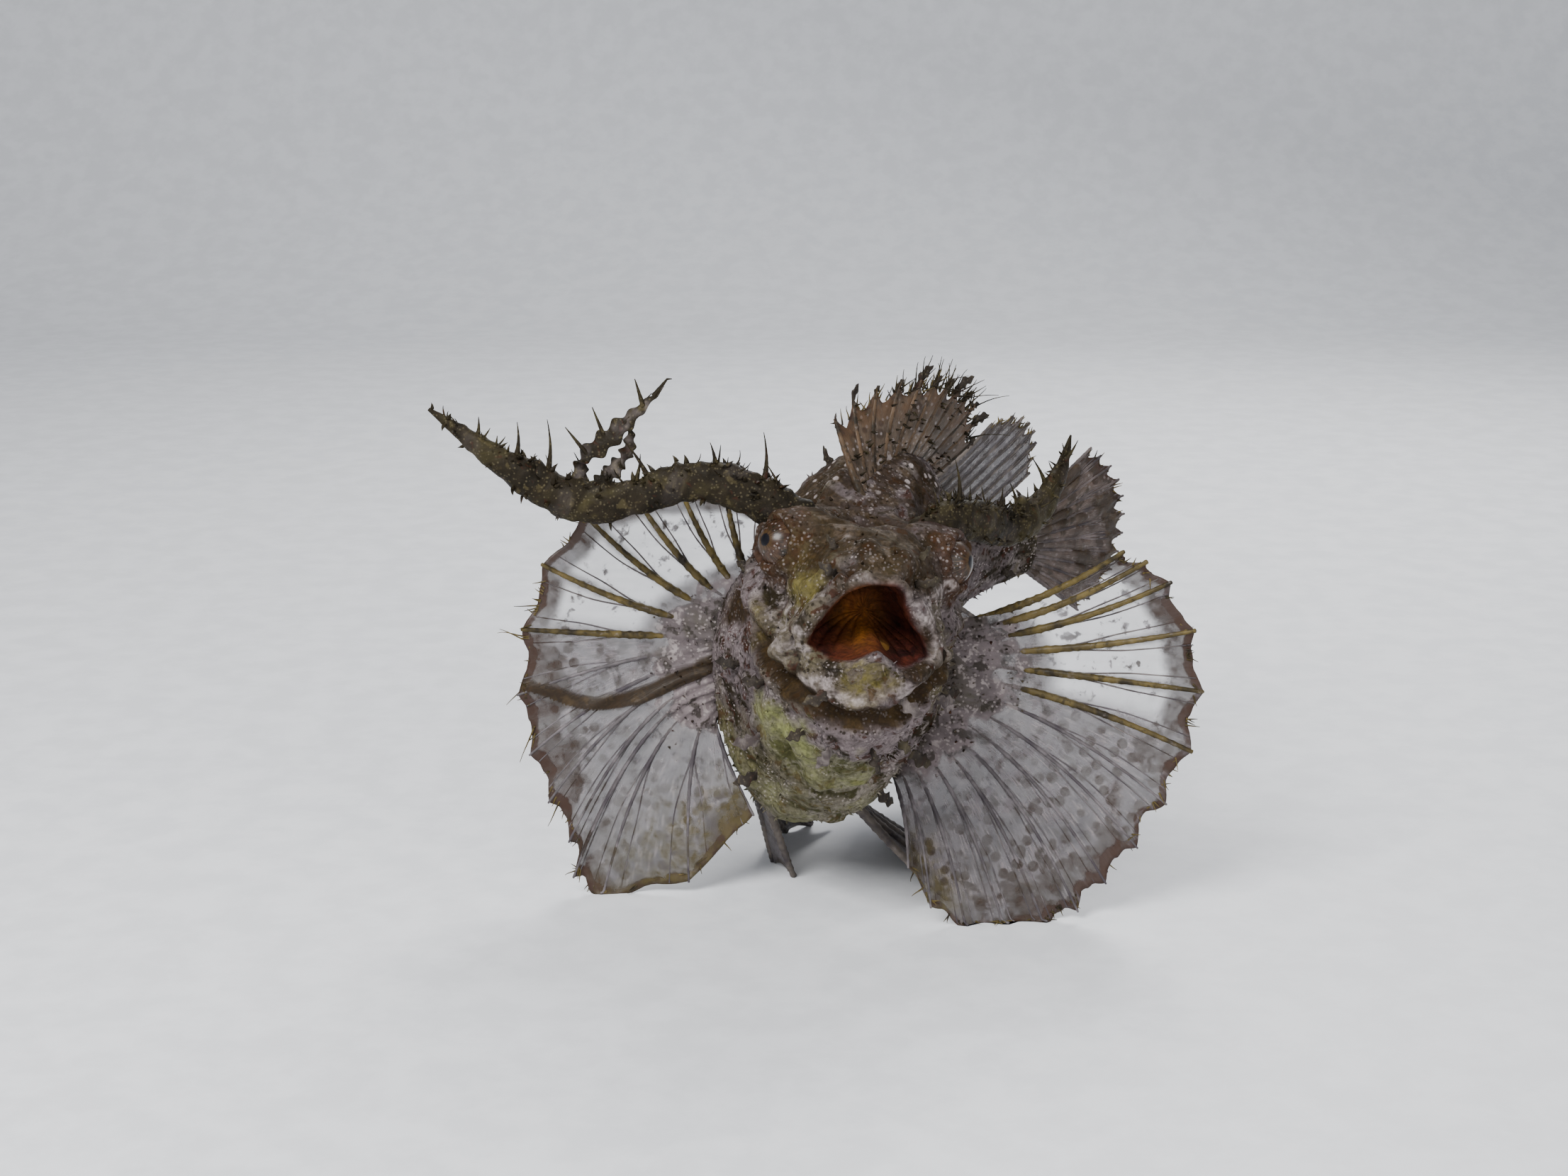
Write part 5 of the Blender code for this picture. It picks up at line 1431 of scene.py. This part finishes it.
def fan(name, middle, count, finish, first_row, rows, steps, ripple, frill, fleshy, marks_of):
    """A fin's membrane as a thin closed sheet with pleats, ripples and a ragged margin.

    u counts the rays across the fin, and v runs from 0 at the root to 1 at the margin.
    """
    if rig.quick():
        rows, steps = rows // 2, steps // 2
    columns = np.linspace(0, count - 1, (count - 1) * steps + 1)
    u, v = np.meshgrid(columns, np.linspace(first_row, 1, rows), indexing="ij")
    tear = frill * (1 + rough(fish(u * 2.3, 3, 0), 1.0, 41, 3)) * ease((v - 0.6) / 0.4) * between(u)
    grid = middle(u, v * (1 - tear))
    normal = grid_normals(grid)
    wave = ripple * rough(fish(u * 1.3, v * 5, 0), 1.0, 42, 2) * between(u) * v
    grid = grid + normal * wave[..., None]
    marks = {
        "edge": ease((v - 0.80) / 0.18), "open": np.zeros(u.shape), "dark": np.zeros(u.shape),
        "across": u / (count - 1), "along": v,
        "flesh": ease((0.50 + 0.13 * rough(grid, 4.5, 43, 3) - v) / 0.16) * (fleshy > 0),
    }
    marks["growth"] = marks["flesh"]
    marks.update(marks_of(u, v, grid) if marks_of else {})
    off_ray = np.abs(u - np.round(u))
    half = sizes().web / MM * (1 - 0.6 * ease((v - 0.93) / 0.07)) + RAY_RIDGE * near(off_ray, 0.10) * (1 - v)
    half = half + BAND_RIDGE * marks["dark"] * ease((1 - v) / 0.1)
    to_side = ease(np.minimum(u, count - 1 - u) / 0.5 + 0.15)
    half = half + fleshy * ease((0.55 - v) / 0.45) * (1 + 0.25 * rough(grid, 3, 44, 2)) * to_side
    thick = normal * half[..., None]
    index = np.arange(u.size).reshape(u.shape)
    quads = np.stack([index[:-1, :-1], index[1:, :-1], index[1:, 1:], index[:-1, 1:]], -1).reshape(-1, 4)
    margin = np.concatenate([index[:, 0], index[-1, 1:], index[-2::-1, -1], index[0, -2:0:-1]])
    after = np.roll(margin, -1)
    rim = np.stack([margin, margin + u.size, after + u.size, after], -1)
    faces = [*quads.tolist(), *(quads[:, ::-1] + u.size).tolist(), *rim.tolist()]
    doubled = {key: np.stack([value, value]) for key, value in marks.items()}
    piece = piece_from(name, np.stack([grid + thick, grid - thick]), faces, finish, doubled)
    lay_flat(piece.data)
    return piece


def lay_flat(mesh):
    """Gives a membrane a UV map across and along its rays."""
    layer = mesh.uv_layers.new(name="fan")
    corner = np.zeros(len(mesh.loops), np.int32)
    mesh.loops.foreach_get("vertex_index", corner)
    flat = []
    for mark in ("across", "along"):
        values = np.zeros(len(mesh.vertices), np.float32)
        mesh.attributes[mark].data.foreach_get("value", values)
        flat.append(values[corner])
    layer.data.foreach_set("uv", np.stack(flat, -1).ravel())


def plain_ray(_):
    """The thickness and tone of a ray like all the others."""
    return 1.0, 0.6


def rays_of(middle, count, root, tip, first_row, swell, beyond, forks, ray_kind):
    """Centre lines, half thickness and tones of a fin's rays, with fine side rays that fork off.

    ray_kind gives a ray's share of the thickness and its tone, by its number.
    """
    lines, halves, tones = [], [], []
    row, fork = np.linspace(first_row, 1.0, RAY_STEPS), np.linspace(FORK_START, FORK_END, FORK_STEPS)
    for i in range(count):
        line = middle(np.full(RAY_STEPS, float(i)), row)
        stout, shown = ray_kind(i)
        size = (root + (tip - root) * row) * stout
        if swell:
            size = size * (0.25 + 0.75 * ease((row - first_row) / swell))
        if beyond:
            ahead = unit(line[-1] - line[-3])
            line = np.concatenate([line, line[-1] + ahead * np.linspace(0.2, beyond, TIP_STEPS)[:, None]])
            size = np.concatenate([size, size[-1] * np.linspace(0.9, 0.25, TIP_STEPS)])
        lines.append(line)
        halves.append(size)
        tones.append(shown)
        for shift in (-FORK_SPREAD, FORK_SPREAD):
            if forks and 0 <= i + shift <= count - 1:
                lines.append(middle(i + shift * ease((fork - FORK_START) / 0.35), fork))
                halves.append(0.26 - 0.16 * fork)
                tones.append(max(shown, FORK_TONE))
    return lines, halves, tones


def make_fin(name, node, kind, middle, count, marks_of=None, ray_kind=plain_ray):
    """Makes the web that stands for a fin's solid, and its rays."""
    web, (finish, *rays, knob, knob_length) = FIN_KINDS[kind]
    finished(fan(f"{name}_web", middle, count, kind, *web, marks_of), "membrane", node)
    lines, halves, tones = rays_of(middle, count, *rays, ray_kind)
    swept_rays(f"{name}_rays", "membrane", lines, halves, finish, RAY_SIDES, knob, knob_length, tones)


def fringe(name, middle, columns, length, finish, seed, lift=0.0):
    """Makes hair-like threads along part of a fin's margin."""
    chance = np.random.default_rng(seed)
    lines, halves, t = [], [], shares(9)
    for column in columns:
        tip = middle(np.array([column, column]), np.array([0.97, 1.0]))
        ahead = unit(tip[1] - tip[0]) + 0.55 * chance.normal(size=3) * np.array([1, 0.5, 1])
        ahead = unit(ahead + np.array([0, 0, lift]))
        size = length * chance.uniform(0.5, 1.15)
        droop = 0.18 * size * np.sin(t * 2.2) * chance.normal(size=3) * np.array([1, 1, 0.6])
        lines.append(tip[0] + ahead * size * t + droop * t)
        halves.append(0.15 * (1 - t[:, 0]) + 0.05)
    swept_rays(name, "membrane", lines, halves, finish, 5, 0.0, 1.0)


def pectoral_marks(last_open, banded, u, v, grid):
    """Windows between the upper rays, dark flecks below, gold on the lowest rays, and the dark band."""
    opened = ease((last_open - u) / 0.8) * ease((v - 0.46) / 0.10) * ease((0.93 - v) / 0.05)
    opened = opened * (1 - 0.85 * near(np.abs(u - np.round(u)), 0.12))
    dark = 0.5 * ease((u - 8) / 2) * ease((v - 0.70) / 0.2) * ease(rough(grid, 3.5, 51, 2) * 3)
    if banded:
        route = path_through(FIN_BAND)(np.linspace(0, 1, 40))
        band = away_from(grid[..., ::2], route) + 0.35 * rough(grid, 5, 52, 2)
        dark = np.maximum(dark, ease((2.0 - band) / 0.8))
    return {"open": opened, "dark": dark, "gold": 0.4 * ease((u - 11.3) / 1.5) * ease((v - 0.55) / 0.3)}


def shaggy_marks(_, v, grid):
    """Skin tags all over the spiny fin, and its brown margin."""
    growth = ease((v - 0.1) / 0.2) * ease(rough(grid, 4, 56) * 2 + 0.8)
    return {"growth": growth, "gold": 0.75 * ease((v - 0.58 + 0.15 * rough(grid, 4, 57)) / 0.25)}


def tail_marks(_, v, grid):
    """Dark blotches of the tail fin."""
    return {"dark": 0.8 * ease((rough(grid, 7, 55, 3) + 0.02) * 5) * ease(v * 3) * ease((1.1 - v) / 0.1)}


def build_pectorals():
    """Make both pectoral fans: fleshy base, windows, branched rays, dark band and ragged fringe."""
    for side_name, (*shape, last_open) in PECTORAL.items():
        right, middle = side_name == "right", pectoral_middle(*shape)

        def ray_kind(number, last_open=last_open):
            return (1.1, 0.1 * (number % 2)) if number < last_open else (0.6, 0.85)

        name = f"pectoral_{side_name}"
        marks_of = functools.partial(pectoral_marks, last_open, right)
        make_fin(name, name, "pectoral", middle, PECTORAL_RAYS, marks_of, ray_kind)
        columns = np.random.default_rng(5).uniform(0.2, 13.8, 90)
        fringe(f"{name}_fringe", middle, columns, 2.2, "ray", 61)
        if right:
            fringe(f"{name}_hairs", middle, PECTORAL_HAIRS, 7.0, "ray", 62)


def dorsal_tips(middle, count):
    """Makes the leafy flaps on the tips of the dorsal spines."""
    leaves = []
    for i in range(count):
        low, tip, after = middle(np.array([i, i, min(i + 1, count - 1)], float), np.array([0.78, 1.0, 1.0]))
        up, behind = unit(tip - low), unit(after - tip + 1e-6)
        length, half = (4.6, 0.85) if i % 3 == 1 else (2.0, 0.6)
        leaves.append(leaf(tip - up * 0.8, up, behind * 0.7, length, half, i))
    leaves_piece("dorsal_tip_flaps", "membrane", leaves, [0.1] * count)


def dorsal_hairs(middle):
    """Makes the few long hairs that trail from the dorsal fin's margin."""
    lines, t = [], shares(14)
    for column, length, rise in DORSAL_HAIRS:
        start = middle(np.array([column]), np.array([0.96]))[0]
        sag = 0.5 * np.sin(3 * t) * np.array([0, 0, 1.0])
        lines.append(start + length * t * np.array([1.0, 0.15, rise]) + sag)
    halves = [0.16 * np.linspace(1, 0.3, len(t))] * len(lines)
    swept_rays("dorsal_hairs", "membrane", lines, halves, "tentacle", 5, 0.0, 1.0)


def build_median_fins():
    """Make the dorsal fins and the anal fin."""
    for name, (_, count, *_) in MEDIAN.items():
        middle, chance = median_middle(name), np.random.default_rng(8)
        if name == "dorsal_spiny":
            make_fin(name, name, "spiny", middle, count, shaggy_marks, lambda _: (1.0, 0.15))
            dorsal_tips(middle, count)
            fringe(f"{name}_fringe", middle, chance.uniform(0.1, count - 1.1, 44), 2.6, "ray", 71, 0.4)
            dorsal_hairs(middle)
            fringe("dorsal_weed", middle, chance.uniform(2.5, 10.8, 56), 5.6, "tentacle", 72)
        else:
            make_fin(name, name, "soft", middle, count)
            fringe(f"{name}_fringe", middle, chance.uniform(0.1, count - 1.1, 44), 1.6, "ray", 71, 0.4)


def build_tail_fin():
    """Make the tail fin."""
    make_fin("tail_fin", "caudal_fin", "tail", caudal_middle, CAUDAL_RAYS, tail_marks)
    columns = np.random.default_rng(9).uniform(0.1, 10.9, 46)
    fringe("tail_fin_fringe", caudal_middle, columns, 1.6, "ray", 81)


def build_pelvics():
    """Make the two pelvic fins, whose lower rays lie on the floor."""
    for side_name, tips in PELVIC.items():
        middle = pelvic_middle(1 if side_name == "left" else -1, tips)
        make_fin(f"pelvic_{side_name}", f"pelvic_{side_name}", "pelvic", middle, len(tips))


# The stage


# In millimetres, apart from the lamps' sizes in metres, and the focal length and the photo's width in pixels
FLOOR_HALF_WIDTH, FLOOR_FRONT, FLOOR_BACK, BACKDROP_BEND, BACKDROP_TOP = 1500, -900, 620, 260, 1400
LAMPS = (  # name, place, aim, power, size in metres
    ("key", (-300, -420, 520), (0, 0, 50), 7.0, 0.30),
    ("fill", (420, -420, 260), (0, 0, 45), 1.8, 0.45),
    ("rim", (180, 420, 480), (0, 0, 60), 3.5, 0.30),
    ("front", (0, -700, 160), (0, 0, 45), 1.4, 0.40),
)
CAMERA_DISTANCE, AIM_HEIGHT, CAMERA_TILT = 450, 56, math.radians(15)
FOCAL_PIXELS, PHOTO_WIDTH, SENSOR_WIDTH = 3447, 2212, 36


def build_stage():
    """Make the pale floor and backdrop, the soft lights and the camera at the photo's angle."""
    profile = [(FLOOR_FRONT, 0), (FLOOR_BACK, 0)]
    profile += [
        (FLOOR_BACK + BACKDROP_BEND * math.sin(a), BACKDROP_BEND - BACKDROP_BEND * math.cos(a))
        for a in np.linspace(0.1, math.pi / 2, 14)
    ]
    profile += [(FLOOR_BACK + BACKDROP_BEND, BACKDROP_TOP)]
    points = [(x, y, z) for x in (-FLOOR_HALF_WIDTH, FLOOR_HALF_WIDTH) for y, z in profile]
    count = len(profile)
    mesh = bpy.data.meshes.new("stage_floor")
    mesh.from_pydata(
        (np.array(points) * MM).tolist(), [], [(k, count + k, count + k + 1, k + 1) for k in range(count - 1)]
    )
    mesh.shade_smooth()
    mesh.materials.append(look("floor"))
    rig.stage(linked("stage_floor", mesh))
    for name, place, aim, power, size in LAMPS:
        lamp = linked(f"lamp_{name}", bpy.data.lights.new(f"lamp_{name}", "AREA"))
        lamp.data.energy, lamp.data.size = power, size
        lamp.location = Vector(place) * MM
        lamp.rotation_euler = (Vector(aim) - Vector(place)).to_track_quat("-Z", "Y").to_euler()
    world = bpy.data.worlds.new("soft sky")
    bpy.context.scene.world = world
    world.use_nodes = True
    sky = world.node_tree.nodes["Background"].inputs
    sky["Color"].default_value, sky["Strength"].default_value = (0.86, 0.90, 1.0, 1), 0.32
    camera = linked("camera", bpy.data.cameras.new("camera"))
    away, rise = CAMERA_DISTANCE * math.cos(CAMERA_TILT), CAMERA_DISTANCE * math.sin(CAMERA_TILT)
    camera.location = (np.array([0, -away, AIM_HEIGHT + rise]) + SHIFT) * MM
    camera.rotation_euler = (math.radians(90) - CAMERA_TILT, 0, 0)
    camera.data.sensor_width = SENSOR_WIDTH
    camera.data.lens = FOCAL_PIXELS * SENSOR_WIDTH / PHOTO_WIDTH
    camera.data.clip_start, camera.data.clip_end = 0.01, 20
    bpy.context.scene.camera = camera


# Operators and panel


def operator_for(label, build):
    """An operator class that runs one builder."""

    def execute(self, context):
        build()
        return {"FINISHED"}

    word = build.__name__.replace("build", "make")
    return type(f"FISH_OT_{word}", (bpy.types.Operator,), {
        "bl_idname": f"fish.{word}", "bl_label": label, "__doc__": build.__doc__, "execute": execute,
    })


OPERATORS = [
    operator_for("Stage", build_stage),
    operator_for("Skin", build_skin),
    operator_for("Eyes", build_eyes),
    operator_for("Tongue", build_tongue),
    operator_for("Brow tentacles", build_brows),
    operator_for("Flaps and spines", build_flaps),
    operator_for("Pectoral fins", build_pectorals),
    operator_for("Dorsal and anal fins", build_median_fins),
    operator_for("Tail fin", build_tail_fin),
    operator_for("Pelvic fins", build_pelvics),
    operator_for("Skin tags", build_tags),
]


class FISH_PT_panel(bpy.types.Panel):
    """Lists the colours, the sizes and the builders of the scorpionfish."""

    bl_label = "Scorpionfish"
    bl_idname = "FISH_PT_panel"
    bl_space_type = "VIEW_3D"
    bl_region_type = "UI"
    bl_category = "Scorpionfish"

    def draw(self, context):
        for group in (context.scene.fish_colours, context.scene.fish_sizes):
            for name in group.__annotations__:
                self.layout.prop(group, name)
        for operator in OPERATORS:
            self.layout.operator(operator.bl_idname)


CLASSES = [FishColours, FishSizes, *OPERATORS, FISH_PT_panel]


def register():
    """Registers the classes and hangs both groups of properties on the scene."""
    for made in CLASSES:
        bpy.utils.register_class(made)
    bpy.types.Scene.fish_colours = bpy.props.PointerProperty(type=FishColours)
    bpy.types.Scene.fish_sizes = bpy.props.PointerProperty(type=FishSizes)


def unregister():
    """Undoes register."""
    del bpy.types.Scene.fish_colours, bpy.types.Scene.fish_sizes
    for made in reversed(CLASSES):
        bpy.utils.unregister_class(made)


def main():
    """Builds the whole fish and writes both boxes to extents.json."""
    register()
    for operator in OPERATORS:
        getattr(bpy.ops.fish, operator.bl_idname.split(".")[1])()
    boxes = {"cad": CAD_BOX, "visual": [list(corner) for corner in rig.bounds()]}
    with open("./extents.json", "w") as file:
        json.dump(boxes, file)


if __name__ == "__main__":
    main()
